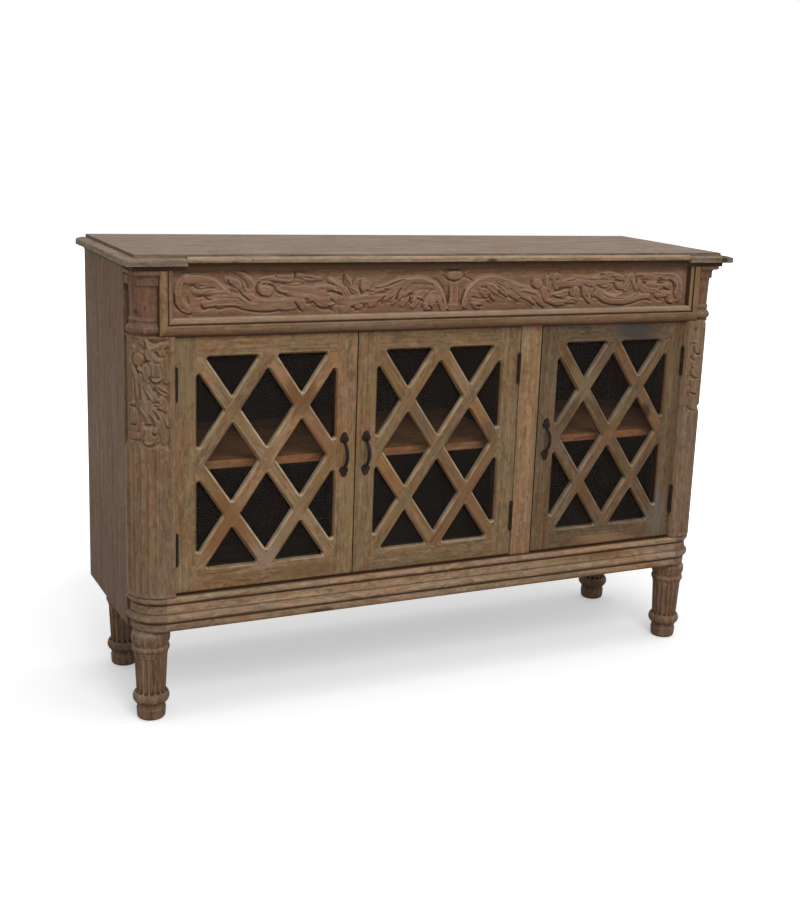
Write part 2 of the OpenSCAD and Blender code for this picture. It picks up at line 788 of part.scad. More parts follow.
top_board();
top_edge_front();
top_edge_side(-1);  // top_edge_left
top_edge_side(1);  // top_edge_right
top_edge_back();
side_panel(-1);  // side_panel_left
side_panel(1);  // side_panel_right
back_panel();
back_rail();
bottom_board();
partition();
mullion();
shelf_wide();
shelf_narrow();
shelf_cleats();
frieze_panel();
frieze_mould_bottom();
frieze_mould_sides();
corner_post(-1);  // corner_post_left
corner_post(1);  // corner_post_right
post_column(-1);  // post_column_left
post_column(1);  // post_column_right
post_cap(-1);  // post_cap_left
post_cap(1);  // post_cap_right
base_front();
base_corner(-1);  // base_corner_left
base_corner(1);  // base_corner_right
color(wood) leg(-leg_x, leg_front_y);  // leg_front_left
color(wood) leg(leg_x, leg_front_y);  // leg_front_right
color(wood) leg(-rear_leg_x, leg_rear_y);  // leg_rear_left
color(wood) leg(rear_leg_x, leg_rear_y);  // leg_rear_right
leg_blocks();
hinge_leaves_cabinet();
hinge_pins();
door_stiles(0);  // left_stiles
door_rails(0);  // left_rails
lattice_rise(0);  // left_lattice_rise
lattice_fall(0);  // left_lattice_fall
door_glass(0);  // left_glass
door_beads(0);  // left_beads
door_pull(0);  // left_pull
door_hinge_leaves(0);  // left_hinge_leaves
door_stiles(1);  // middle_stiles
door_rails(1);  // middle_rails
lattice_rise(1);  // middle_lattice_rise
lattice_fall(1);  // middle_lattice_fall
door_glass(1);  // middle_glass
door_beads(1);  // middle_beads
door_pull(1);  // middle_pull
door_hinge_leaves(1);  // middle_hinge_leaves
door_stiles(2);  // right_stiles
door_rails(2);  // right_rails
lattice_rise(2);  // right_lattice_rise
lattice_fall(2);  // right_lattice_fall
door_glass(2);  // right_glass
door_beads(2);  // right_beads
door_pull(2);  // right_pull
door_hinge_leaves(2);  // right_hinge_leaves
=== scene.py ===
"""Visual model of a limed hardwood sideboard with three lattice doors.

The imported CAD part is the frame: every piece here is in its coordinates, in metres.
+X runs to the right, +Y to the back, +Z up, and the doors face -Y.
"""

import json
import logging
import math
from dataclasses import astuple, dataclass
from enum import Enum

import bmesh
import bpy
import numpy as np
from mathutils import Matrix, Vector

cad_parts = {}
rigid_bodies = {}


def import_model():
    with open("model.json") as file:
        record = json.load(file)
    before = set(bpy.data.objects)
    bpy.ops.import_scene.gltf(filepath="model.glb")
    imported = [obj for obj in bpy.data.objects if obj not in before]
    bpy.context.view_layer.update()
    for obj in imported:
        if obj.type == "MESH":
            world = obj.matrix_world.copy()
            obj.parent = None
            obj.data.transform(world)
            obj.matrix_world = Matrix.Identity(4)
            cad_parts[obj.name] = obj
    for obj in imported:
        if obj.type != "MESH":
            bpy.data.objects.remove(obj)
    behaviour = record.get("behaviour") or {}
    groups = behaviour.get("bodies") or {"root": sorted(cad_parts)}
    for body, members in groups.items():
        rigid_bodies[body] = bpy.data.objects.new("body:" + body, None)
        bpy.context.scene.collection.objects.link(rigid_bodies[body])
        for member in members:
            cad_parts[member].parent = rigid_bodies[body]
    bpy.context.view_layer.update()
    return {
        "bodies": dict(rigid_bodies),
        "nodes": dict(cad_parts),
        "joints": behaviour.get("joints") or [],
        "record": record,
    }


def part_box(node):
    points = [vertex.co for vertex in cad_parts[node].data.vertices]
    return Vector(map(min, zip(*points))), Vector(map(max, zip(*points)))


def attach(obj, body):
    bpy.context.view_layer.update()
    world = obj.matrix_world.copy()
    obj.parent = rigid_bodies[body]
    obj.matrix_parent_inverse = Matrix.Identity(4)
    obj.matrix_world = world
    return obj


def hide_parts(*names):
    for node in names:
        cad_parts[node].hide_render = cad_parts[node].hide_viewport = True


LOG = logging.getLogger("sideboard")
MM = 0.001
DOORS = ("left", "middle", "right")
BAR_SLANT = math.radians(55.9)
# Axes of the part's frame.
X, Y, Z = range(3)

Colour = tuple[float, float, float, float]
Socket = bpy.types.NodeSocket
Node = bpy.types.Node
Shape = bmesh.types.BMesh
Face = bmesh.types.BMFace


class Grain(Enum):
    """The way the fibres of a piece run; the value is its turn about Y and its long axis."""

    X = (0.0, 0)
    Y = (0.0, 1)
    Z = (0.0, 2)
    RISE = (BAR_SLANT, 0)
    FALL = (-BAR_SLANT, 0)


class Side(Enum):
    """A side of the cabinet; the value is the sign of its X."""

    LEFT = -1
    RIGHT = 1


def srgb(red: float, green: float, blue: float) -> Colour:
    """Returns the linear colour of display values from 0 to 255."""
    shares = [value / 255 for value in (red, green, blue)]
    return (*[((c + 0.055) / 1.055) ** 2.4 if c > 10 / 255 else c / 12.92 for c in shares], 1.0)


class Graph:
    """A material's node tree, built by short calls."""

    def __init__(self, name: str) -> None:
        """Starts an empty material with a surface output.

        Args:
            name: the material's name.
        """
        self.material = bpy.data.materials.new(name)
        self.material.use_nodes = True
        self.tree = self.material.node_tree
        self.tree.nodes.clear()
        self.output = self.tree.nodes.new("ShaderNodeOutputMaterial")
        self.place: Socket = self.add("TexCoord").outputs["Object"]

    def add(self, kind: str, *inputs: object, **settings: object) -> Node:
        """Adds a node.

        Args:
            kind: its type, without the leading ShaderNode.
            inputs: what its first sockets take, in their order.
            settings: its properties.

        Returns:
            The node.
        """
        node = self.tree.nodes.new("ShaderNode" + kind)
        for key, value in settings.items():
            setattr(node, key, value)
        for socket, value in zip(node.inputs, inputs):
            self.feed(socket, value)
        return node

    def feed(self, socket: Socket, value: object) -> None:
        """Links a socket into another, or writes a plain value there.

        Args:
            socket: the input.
            value: an output or a plain value.
        """
        if isinstance(value, Socket):
            self.tree.links.new(value, socket)
        else:
            socket.default_value = value

    def mapping(
        self, vector: object, turn: tuple = (0, 0, 0), scale: tuple = (1, 1, 1), shift: tuple = (0, 0, 0)
    ) -> Socket:
        """Scales, turns and shifts a vector, in that order."""
        return self.add("Mapping", vector, shift, turn, scale).outputs[0]

    def noise(self, vector: object, scale: float, detail: float = 2.0, rough: float = 0.5, warp: float = 0.0) -> Node:
        """Adds a noise texture.

        Args:
            vector: where it is read.
            scale: cells per metre.
            detail: octaves above the first.
            rough: how strong the finer octaves are.
            warp: distortion.

        Returns:
            The node, for its value and its colour.
        """
        node = self.add("TexNoise", vector)
        for name, value in (("Scale", scale), ("Detail", detail), ("Roughness", rough), ("Distortion", warp)):
            node.inputs[name].default_value = value
        return node

    def fit(self, value: object, low: float, high: float, to_low: float = 0.0, to_high: float = 1.0) -> Socket:
        """Maps a range to another and holds it there."""
        return self.add("MapRange", value, low, high, to_low, to_high).outputs[0]

    def maths(self, operation: str, first: object, second: object = 0.5) -> Socket:
        """Adds a maths node of two values."""
        return self.add("Math", first, second, operation=operation).outputs[0]

    def vectors(self, operation: str, *values: object) -> Node:
        """Adds a maths node of vectors."""
        return self.add("VectorMath", *values, operation=operation)

    def split(self, colour: object) -> bpy.types.NodeOutputs:
        """Splits a colour into red, green and blue."""
        return self.add("SeparateColor", colour).outputs

    def parts(self, vector: object) -> bpy.types.NodeOutputs:
        """Splits a vector into X, Y and Z."""
        return self.add("SeparateXYZ", vector).outputs

    def mix(self, amount: object, first: object, second: object, blend: str = "MIX") -> Socket:
        """Mixes two colours.

        Args:
            amount: share of the second.
            first: a colour.
            second: a colour.
            blend: how they mix.

        Returns:
            The mixed colour.
        """
        node = self.add("Mix", amount, data_type="RGBA", blend_type=blend)
        self.feed(node.inputs[6], first)
        self.feed(node.inputs[7], second)
        return node.outputs[2]

    def ramp(self, value: object, stops: tuple) -> Socket:
        """Adds a colour ramp from (position, colour) stops.

        Args:
            value: where it is read.
            stops: its stops, in order.

        Returns:
            The colour.
        """
        node = self.add("ValToRGB", value)
        elements = node.color_ramp.elements
        while len(elements) < len(stops):
            elements.new(0.5)
        for element, (position, colour) in zip(elements, stops):
            element.position = position
            element.color = colour
        return node.outputs["Color"]

    def grey(self, value: object) -> Socket:
        """Makes a grey colour of a value."""
        return self.add("CombineColor", value, value, value).outputs[0]

    def bump(self, height: object, strength: float, depth: float, normal: object = None) -> Socket:
        """Turns a height into a normal.

        Args:
            height: the height.
            strength: its share.
            depth: its scale in metres.
            normal: the normal it is laid over.

        Returns:
            The normal.
        """
        node = self.add("Bump")
        self.feed(node.inputs["Height"], height)
        if normal is not None:
            self.feed(node.inputs["Normal"], normal)
        node.inputs["Strength"].default_value = strength
        node.inputs["Distance"].default_value = depth
        return node.outputs["Normal"]

    def surface(self, **inputs: object) -> Node:
        """Adds the surface shader with the given inputs and links it to the output.

        Args:
            inputs: its inputs by name, with _ for a space.

        Returns:
            The shader.
        """
        node = self.add("BsdfPrincipled")
        for name, value in inputs.items():
            self.feed(node.inputs[name.replace("_", " ")], value)
        self.tree.links.new(node.outputs["BSDF"], self.output.inputs["Surface"])
        return node


@dataclass(frozen=True)
class WoodTone:
    """The colours of one lot of boards, as display values."""

    deep: tuple[int, int, int]
    mid: tuple[int, int, int]
    pale: tuple[int, int, int]
    warm: tuple[int, int, int] = (150, 104, 66)
    ash: tuple[int, int, int] = (128, 116, 104)
    wax: tuple[int, int, int] = (178, 164, 146)

    def dimmed(self, red: float, green: float = 0.0, blue: float = 0.0) -> "WoodTone":
        """Returns the tone scaled by one factor, or by one for each of its channels."""
        factors = (red, green or red, blue or red)
        return WoodTone(*(tuple(c * f for c, f in zip(hue, factors)) for hue in astuple(self)))


FRONT_TONE = WoodTone((80, 61, 42), (115, 92, 66), (142, 119, 91), (130, 89, 54), (114, 102, 79), (178, 160, 134))
TOP_TONE = WoodTone((88, 76, 66), (115, 104, 93), (134, 121, 110), (120, 96, 75), (114, 108, 102), (150, 138, 126))
LIP_TONE = WoodTone((90, 74, 58), (116, 101, 84), (146, 128, 106), (130, 103, 76), (118, 109, 98), (164, 150, 132))
BEAD_TONE = WoodTone((98, 78, 56), (126, 105, 81), (154, 134, 106), (138, 104, 70), (126, 112, 92), (172, 156, 132))
SIDE_TONE = WoodTone((70, 53, 38), (97, 75, 54), (118, 94, 71), (102, 72, 47), (95, 80, 65))
FRIEZE_TONE = WoodTone((86, 60, 44), (115, 87, 67), (156, 126, 102), (130, 88, 60), (114, 95, 78))
FRAME_TONE = WoodTone((84, 64, 46), (112, 88, 66), (144, 118, 92), (130, 92, 60), (116, 102, 86), (186, 168, 144))
BASE_TONE = WoodTone((92, 72, 52), (130, 107, 82), (160, 138, 112), (144, 102, 64), (132, 118, 99))
POST_TONE = WoodTone((74, 57, 42), (107, 87, 66), (138, 117, 93), (124, 83, 52), (110, 99, 85))
NECK_TONE = WoodTone((68, 47, 33), (99, 73, 54), (136, 112, 92), (118, 72, 44), (112, 90, 78))
LEG_TONE = WoodTone((70, 52, 38), (104, 81, 61), (140, 118, 97), (118, 78, 48), (108, 96, 84))
# Wood painted dark as the shade inside the cabinet, for the hidden parts and the door beads.
DARK_TONE = WoodTone((34, 26, 21), (46, 36, 29), (58, 46, 38), (58, 40, 28), (48, 42, 37), (66, 58, 50))
SHELF_TONE = WoodTone((86, 56, 33), (132, 92, 60), (160, 118, 80), (154, 98, 54), (124, 94, 66), (150, 110, 76))
# The brown of painted shade: on what looks down or aside, in hollows, grooves and carved cuts, and in most bands.
SOIL = srgb(54, 33, 19)
# Painted shade on what lies inside the cabinet.
INSIDE = srgb(40, 32, 26)


@dataclass(frozen=True)
class Grime:
    """A band of hue that thickens from one place to another, along one axis of the part's frame; most bands are
    painted shade, one is a painted highlight.
    """

    axis: int
    clean: float
    dirty: float
    strength: float = 0.9
    hue: Colour = SOIL


@dataclass(frozen=True)
class Seam:
    """A dark line of painted shade in a groove, at one place along an axis."""

    axis: int
    at: float
    half: float
    strength: float = 0.85


@dataclass(frozen=True)
class Mark:
    """A knot, stain or rubbed place seen from the front, in metres."""

    x: float
    z: float
    wide: float
    tall: float
    strength: float = 0.8
    hue: Colour = srgb(34, 25, 17)


LIP_MARKS = (
    Mark(0.066, 0.902, 0.014, 0.006),
    Mark(-0.470, 0.901, 0.012, 0.005, 0.6),
    Mark(0.300, 0.904, 0.030, 0.003, 0.5),
    Mark(0.650, 0.902, 0.012, 0.008),
)
MULLION_MARKS = (
    Mark(0.205, 0.500, 0.010, 0.300, 0.4, srgb(96, 80, 58)),
    Mark(0.222, 0.640, 0.020, 0.120, 0.5, srgb(138, 112, 78)),
)
NECK_MARKS = (Mark(-0.645, 0.809, 0.004, 0.008, 0.55), Mark(-0.6305, 0.816, 0.003, 0.006, 0.55))
BASE_MARKS = (
    Mark(0.400, 0.240, 0.080, 0.014, 0.6, srgb(104, 68, 42)),
    Mark(-0.279, 0.212, 0.090, 0.010, 0.4, srgb(160, 138, 114)),
    Mark(-0.275, 0.192, 0.032, 0.009, 0.85, srgb(66, 42, 26)),
)
DOOR_MARKS = (
    (
        Mark(-0.490, 0.395, 0.060, 0.075, 0.8, srgb(108, 72, 42)),
        Mark(-0.330, 0.640, 0.050, 0.050, 0.85, srgb(96, 66, 40)),
        Mark(-0.285, 0.560, 0.046, 0.060, 0.7, srgb(112, 74, 52)),
        Mark(-0.441, 0.588, 0.044, 0.055, 0.5, srgb(118, 98, 62)),
        Mark(-0.353, 0.395, 0.050, 0.060, 0.5, srgb(122, 106, 78)),
        Mark(-0.400, 0.322, 0.042, 0.032, 0.5, srgb(136, 118, 102)),
        Mark(-0.302, 0.282, 0.075, 0.018, 0.6, srgb(96, 72, 44)),
        Mark(-0.560, 0.700, 0.040, 0.120, 0.4, srgb(112, 96, 72)),
        Mark(-0.215, 0.420, 0.030, 0.140, 0.4, srgb(122, 104, 70)),
    ),
    (
        Mark(0.093, 0.544, 0.026, 0.032, 0.6, srgb(70, 60, 50)),
        Mark(-0.150, 0.640, 0.050, 0.050, 0.5, srgb(118, 98, 60)),
        Mark(-0.080, 0.560, 0.040, 0.060, 0.5, srgb(92, 78, 62)),
        Mark(0.020, 0.655, 0.044, 0.044, 0.4, srgb(128, 108, 88)),
        Mark(0.060, 0.400, 0.050, 0.060, 0.5, srgb(112, 78, 56)),
        Mark(-0.140, 0.390, 0.050, 0.050, 0.5, srgb(120, 97, 62)),
    ),
    (
        Mark(0.451, 0.743, 0.070, 0.026, 0.85, srgb(62, 55, 53)),
        Mark(0.540, 0.320, 0.030, 0.080, 0.5, srgb(100, 92, 86)),
        Mark(0.339, 0.385, 0.034, 0.050, 0.65, srgb(96, 64, 38)),
        Mark(0.324, 0.640, 0.055, 0.060, 0.4, srgb(122, 110, 80)),
        Mark(0.489, 0.560, 0.016, 0.026, 0.75),
        Mark(0.400, 0.272, 0.080, 0.018, 0.6, srgb(134, 106, 78)),
        Mark(0.552, 0.660, 0.020, 0.060, 0.4, srgb(108, 84, 50)),
        Mark(0.260, 0.500, 0.030, 0.050, 0.5, srgb(104, 80, 66)),
    ),
)


# How far one step of a seed moves the wood's pattern.
SEED_STEP = (3.7, 1.9, 5.3)
EDGE_RADIUS = 0.0014
HOLLOW_REACH = 0.009
RUST_BROWN = srgb(106, 69, 37)
# Small spots: cells per metre, then what each hue does to the middle tone's red, green and blue.
SPOTS = (
    (36, ((1.13, 0.96, 0.78), (1.14, 1.10, 1.22), (0.93, 1.03, 0.90))),
    (120, ((0.78, 0.74, 0.72), (1.22, 1.26, 1.32), (1.10, 1.0, 1.10))),
)


@dataclass(frozen=True)
class LimedWood:
    """Weathered hardwood rubbed with pale wax.

    Streaks, the pale wax on what looks up (partly a painted highlight), patches, knots, mottle, wear, the painted
    shade on what looks down or aside and the painted shade in hollows are strengths; calm evens out the figure.
    Boards is a board's width, cloud the patches in a metre. Inside inner_half the wood is painted dark as shade, and
    relief reads the mesh's carving.
    """

    name: str
    tone: WoodTone
    grain: Grain = Grain.Z
    seed: float = 0.0
    streaks: float = 0.3
    dust: float = 0.5
    patches: float = 0.6
    boards: float = 0.0
    knots: float = 0.0
    cavity: float = 0.75
    inner_half: float = 0.0
    relief: bool = False
    wear: float = 0.55
    calm: float = 0.0
    cloud: float = 9.5
    mottle: float = 0.55
    under: float = 0.7
    flanks: float = 0.0
    grime: tuple[Grime, ...] = ()
    seams: tuple[Seam, ...] = ()
    marks: tuple[Mark, ...] = ()

    def material(self) -> bpy.types.Material:
        """Builds the material's nodes.

        Returns:
            The material.
        """
        g = Graph(self.name)
        tone = self.tone
        shift = tuple(self.seed * step for step in SEED_STEP)
        turned = flow = g.mapping(g.place, turn=(0, self.grain.value[0], 0), shift=shift)
        if self.knots:
            knot, flow = self._knots(g, turned)
        figure = g.noise(g.mapping(flow, scale=self._along(0.10)), scale=42, detail=3, rough=0.55, warp=0.9)
        fibre = g.noise(g.mapping(flow, scale=self._along(0.035)), scale=210, detail=4, rough=0.62, warp=0.2)
        pores = g.noise(g.mapping(turned, scale=self._along(0.05)), scale=620, detail=1)
        cloud = g.noise(g.mapping(turned, scale=self._along(0.40)), self.cloud, detail=2, rough=0.6, warp=0.5)
        clouds = g.split(cloud.outputs["Color"])

        stops = ((0.22, srgb(*tone.deep)), (0.48, srgb(*tone.mid)), (0.76, srgb(*tone.pale)))
        base = g.ramp(figure.outputs[0], stops)
        warm = g.fit(clouds[0], 0.50, 0.62, 0, self.patches)
        base = g.mix(warm, base, srgb(*tone.warm))
        ash = g.fit(clouds[1], 0.51, 0.64, 0, self.patches)
        base = g.mix(ash, base, srgb(*tone.ash))
        stain = g.fit(clouds[2], 0.56, 0.72, 0, 0.6 * self.patches)
        base = g.mix(stain, base, srgb(*tone.deep))
        if self.calm:
            base = g.mix(self.calm, base, srgb(*tone.mid))
        base = self._mottled(g, turned, base)
        if self.boards:
            base = self._boards(g, turned, base)
        streak = g.fit(fibre.outputs[0], 0.36, 0.64, 1 - self.streaks * 0.6, 1 + self.streaks * 0.4)
        base = g.mix(1.0, base, g.grey(streak), "MULTIPLY")
        pore = g.fit(pores.outputs[0], 0.30, 0.42, 0.32, 0)
        dark = srgb(*(int(c * 0.4) for c in tone.deep))
        base = g.mix(pore, base, dark)
        if self.knots:
            base = g.mix(knot, base, dark)
        for mark in self.marks:
            base = g.mix(self._mark(g, mark, fibre), base, mark.hue)
        base = self._dusted(g, base, fibre)
        soft = None
        if self.wear:
            rounded = g.add("Bevel", samples=4)
            rounded.inputs["Radius"].default_value = EDGE_RADIUS
            soft = rounded.outputs["Normal"]
            base = self._worn(g, base, soft, fibre)
        if self.relief:
            base = self._carved(g, base)
        base = self._soiled(g, base)
        if self.inner_half:
            base = self._inside_dark(g, base)
        height = g.maths("ADD", fibre.outputs[0], g.maths("MULTIPLY", pore, -0.8))
        rough = g.fit(fibre.outputs[0], 0.3, 0.7, 0.78, 0.58)
        normal = g.bump(height, strength=0.4, depth=0.0006, normal=soft)
        g.surface(Base_Color=base, Roughness=rough, Specular_IOR_Level=0.1, Normal=normal)
        return g.material

    def _along(self, factor: float) -> tuple[float, float, float]:
        """Returns the scale that draws a pattern out along the grain."""
        return tuple(factor if axis == self.grain.value[1] else 1.0 for axis in range(3))

    def _mottled(self, g: Graph, turned: Socket, base: Socket) -> Socket:
        """Lays small spots of other hues over the wood.

        Args:
            g: the material's graph.
            turned: coordinates along the grain.
            base: the colour so far.

        Returns:
            The new colour.
        """
        for scale, hues in SPOTS:
            place = g.mapping(turned, scale=self._along(0.45))
            spots = g.noise(place, scale, detail=2, rough=0.6, warp=0.7)
            channels = g.split(spots.outputs["Color"])
            for channel, factors in zip(channels, hues):
                hue = srgb(*(c * f for c, f in zip(self.tone.mid, factors)))
                base = g.mix(g.fit(channel, 0.50, 0.64, 0, self.mottle), base, hue)
        return base

    def _knots(self, g: Graph, turned: Socket) -> tuple[Socket, Socket]:
        """Scatters knots that the figure flows round.

        Args:
            g: the material's graph.
            turned: coordinates along the grain.

        Returns:
            How much of a knot each place is, and the bent coordinates.
        """
        cells = g.add("TexVoronoi")
        g.feed(cells.inputs["Vector"], g.mapping(turned, scale=self._along(0.4)))
        cells.inputs["Scale"].default_value = 6.0
        exists = g.fit(g.split(cells.outputs["Color"])[0], 1 - self.knots, 1 - self.knots + 0.05, 0, 1)
        core = g.maths("MULTIPLY", g.fit(cells.outputs["Distance"], 0.035, 0.085, 0.85, 0), exists)
        bend = g.maths("MULTIPLY", g.fit(cells.outputs["Distance"], 0.0, 0.45, 0.05, 0), exists)
        return core, g.vectors("ADD", turned, bend).outputs[0]

    def _boards(self, g: Graph, turned: Socket, base: Socket) -> Socket:
        """Gives each board across the grain its own lightness.

        Args:
            g: the material's graph.
            turned: coordinates along the grain.
            base: the colour so far.

        Returns:
            The new colour.
        """
        across = g.parts(turned)[0 if self.grain.value[1] else 2]
        number = g.maths("FLOOR", g.maths("DIVIDE", across, self.boards))
        chance = g.add("TexWhiteNoise", noise_dimensions="1D")
        g.feed(chance.inputs["W"], number)
        lot = g.split(chance.outputs["Color"])
        warm = g.fit(lot[1], 0.3, 1.0, 0, 0.6)
        base = g.mix(warm, base, srgb(*self.tone.warm))
        return g.mix(1.0, base, g.grey(g.fit(lot[0], 0, 1, 0.80, 1.18)), "MULTIPLY")

    def _mark(self, g: Graph, mark: Mark, fibre: Node) -> Socket:
        """Draws one mark, ragged along the fibres.

        Args:
            g: the material's graph.
            mark: the mark.
            fibre: the fibres' noise.

        Returns:
            How strong it is at each place.
        """
        size = (1 / mark.wide, 0, 1 / mark.tall)
        moved = g.mapping(g.place, shift=(-mark.x / mark.wide, 0, -mark.z / mark.tall), scale=size)
        length = g.vectors("LENGTH", moved).outputs["Value"]
        ragged = g.maths("ADD", length, g.fit(fibre.outputs[0], 0.3, 0.7, 0.35, -0.35))
        return g.fit(ragged, 0.5, 1.0, mark.strength, 0)

    def _dusted(self, g: Graph, base: Socket, fibre: Node) -> Socket:
        """Lays pale wax on faces that look up, partly a painted highlight, and painted shade on those that look down
        or to the side.

        Args:
            g: the material's graph.
            base: the colour so far.
            fibre: the fibres' noise.

        Returns:
            The new colour.
        """
        facing = g.parts(g.add("TexCoord").outputs["Normal"])
        tilted = g.maths("ADD", facing[2], g.maths("MULTIPLY", facing[0], 0.08))
        # Pale wax on what looks up, partly a painted highlight from the light above.
        upward = g.fit(tilted, 0.10, 0.42, 0, self.dust)
        held = g.fit(fibre.outputs[0], 0.36, 0.58, 0.6, 1)
        coats = g.fit(g.noise(g.place, scale=22, detail=2, rough=0.6).outputs[0], 0.4, 0.6, 0.35, 1)
        base = g.mix(g.maths("MULTIPLY", upward, g.maths("MULTIPLY", held, coats)), base, srgb(*self.tone.wax))
        # Painted shade on what looks down.
        ragged = g.maths("ADD", tilted, g.fit(fibre.outputs[0], 0.3, 0.7, -0.25, 0.25))
        base = g.mix(g.fit(ragged, -0.65, -0.2, self.under, 0), base, SOIL)
        # Painted shade on what looks to the side.
        if self.flanks:
            aside = g.maths("ABSOLUTE", facing[0])
            base = g.mix(g.fit(aside, 0.55, 0.9, 0, self.flanks), base, SOIL)
        return base

    def _worn(self, g: Graph, base: Socket, soft: Socket, fibre: Node) -> Socket:
        """Rubs sharp edges pale.

        Args:
            g: the material's graph.
            base: the colour so far.
            soft: the normal with rounded edges.
            fibre: the fibres' noise.

        Returns:
            The new colour.
        """
        true = g.add("NewGeometry").outputs["True Normal"]
        turned = g.vectors("DOT_PRODUCT", soft, true).outputs["Value"]
        edge = g.fit(turned, 0.80, 0.985, self.wear, 0)
        held = g.fit(fibre.outputs[0], 0.34, 0.60, 0.1, 1)
        return g.mix(g.maths("MULTIPLY", edge, held), base, srgb(*self.tone.wax))

    def _carved(self, g: Graph, base: Socket) -> Socket:
        """Paints shade into the carving's cuts and creases and beneath its edges, and rubs its ridges pale with
        painted highlights, from the mesh's relief colours.

        Args:
            g: the material's graph.
            base: the colour so far.

        Returns:
            The new colour.
        """
        dirt, rubbed, stain = g.split(g.add("Attribute", attribute_name="relief").outputs["Color"])
        base = g.mix(g.maths("MULTIPLY", stain, 0.6), base, RUST_BROWN)
        # Ridges rubbed pale, with painted highlights on rims and raised parts.
        base = g.mix(g.maths("MULTIPLY", rubbed, 0.7), base, srgb(*self.tone.pale))
        # Painted shade in cuts and creases and beneath edges.
        return g.mix(dirt, base, SOIL)

    def _soiled(self, g: Graph, base: Socket) -> Socket:
        """Paints shade into the piece's hollows and grooves, and lays its bands of hue, most of them painted shade.

        Args:
            g: the material's graph.
            base: the colour so far.

        Returns:
            The new colour.
        """
        # Painted shade in hollows, from occlusion.
        if self.cavity:
            hollow = g.add("AmbientOcclusion", samples=4, only_local=True)
            hollow.inputs["Distance"].default_value = HOLLOW_REACH
            base = g.mix(g.fit(hollow.outputs["AO"], 0.30, 0.85, self.cavity, 0), base, SOIL)
        place = g.parts(g.place)
        for band in self.grime:
            amount = g.fit(place[band.axis], band.clean, band.dirty, 0, band.strength)
            base = g.mix(amount, base, band.hue)
        # Painted shade along the grooves.
        for seam in self.seams:
            gap = g.maths("ABSOLUTE", g.maths("SUBTRACT", place[seam.axis], seam.at))
            base = g.mix(g.fit(gap, seam.half * 0.4, seam.half, seam.strength, 0), base, SOIL)
        return base

    def _inside_dark(self, g: Graph, base: Socket) -> Socket:
        """Paints what lies inside the cabinet dark, as shade.

        Args:
            g: the material's graph.
            base: the colour so far.

        Returns:
            The new colour.
        """
        out = g.maths("ABSOLUTE", g.parts(g.place)[0])
        inside = g.fit(out, self.inner_half - 0.001, self.inner_half, 1, 0)
        return g.mix(inside, base, INSIDE)


@dataclass(frozen=True)
class DarkIron:
    """Blackened iron, browned in patches."""

    name: str

    def material(self) -> bpy.types.Material:
        """Builds the material's nodes.

        Returns:
            The material.
        """
        g = Graph(self.name)
        pits = g.noise(g.place, scale=900, detail=3, rough=0.6)
        blooms = g.noise(g.place, scale=120)
        stops = ((0.3, srgb(20, 14, 11)), (0.6, srgb(34, 24, 18)), (0.8, srgb(66, 46, 32)))
        colour = g.ramp(blooms.outputs[0], stops)
        rough = g.fit(pits.outputs[0], 0.3, 0.7, 0.52, 0.72)
        normal = g.bump(pits.outputs[0], strength=0.3, depth=0.0003)
        g.surface(Base_Color=colour, Metallic=0.05, Specular_IOR_Level=0.12, Roughness=rough, Normal=normal)
        return g.material


@dataclass(frozen=True)
class Pane:
    """Thin clear glass with a faint dusty film."""

    name: str

    def material(self) -> bpy.types.Material:
        """Builds the material's nodes.

        Returns:
            The material.
        """
        g = Graph(self.name)
        g.surface(Base_Color=(0.085, 0.072, 0.062, 1), Roughness=0.3, Specular_IOR_Level=0.0, Alpha=0.07)
        return g.material


Finish = LimedWood | DarkIron | Pane


def dress(nodes: tuple[str, ...], finish: Finish, frame: dict) -> None:
    """Gives CAD nodes one finish.

    Args:
        nodes: their names.
        finish: the finish.
        frame: what the frame holds.
    """
    material = finish.material()
    for name in nodes:
        mesh = frame["nodes"][name].data
        mesh.materials.clear()
        mesh.materials.append(material)


def grown(shape: Shape, face: Face, inner: bool) -> Face:
    """Extrudes a face in its place.

    Args:
        shape: the mesh.
        face: the face.
        inner: whether it ends up inside and is taken away.

    Returns:
        The new face.
    """
    parts = bmesh.ops.extrude_face_region(shape, geom=[face])["geom"]
    if inner:
        bmesh.ops.delete(shape, geom=[face], context="FACES_ONLY")
    return next(part for part in parts if isinstance(part, Face))


def publish(
    name: str, shape: Shape, material: bpy.types.Material, carrier: str, smooth: bool = True
) -> bpy.types.Object:
    """Turns a finished shape into a piece that rides on a body.

    Args:
        name: the piece's name.
        shape: the shape; it is freed here.
        material: its material.
        carrier: the CAD body it rides on.
        smooth: whether its faces are shaded smooth.

    Returns:
        The new object.
    """
    bmesh.ops.recalc_face_normals(shape, faces=shape.faces)
    for face in shape.faces:
        face.smooth = smooth
    mesh = bpy.data.meshes.new(name)
    shape.to_mesh(mesh)
    shape.free()
    mesh.materials.append(material)
    piece = bpy.data.objects.new(name, mesh)
    bpy.context.scene.collection.objects.link(piece)
    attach(piece, carrier)
    return piece


GROOVE_WIDTH = 0.82


class Cut(Enum):
    """What a carved stroke does to the surface."""

    BODY = "body"
    RIDGE = "ridge"
    GROOVE = "groove"


@dataclass(frozen=True)
class Stroke:
    """One carved stroke along points of (place, height, half width) in millimetres.

    A body rises from the ground, a ridge is added to what is there and a groove is cut into it.
    Folds are shallow flutes along a body.
    """

    kind: Cut
    depth: float
    folds: int
    points: tuple[tuple[float, float, float], ...]


def body(depth: float, folds: int, *points: tuple[float, float, float]) -> Stroke:
    """Returns a raised stroke."""
    return Stroke(Cut.BODY, depth, folds, points)


def ridge(depth: float, *points: tuple[float, float, float]) -> Stroke:
    """Returns a stroke added on top."""
    return Stroke(Cut.RIDGE, depth, 0, points)


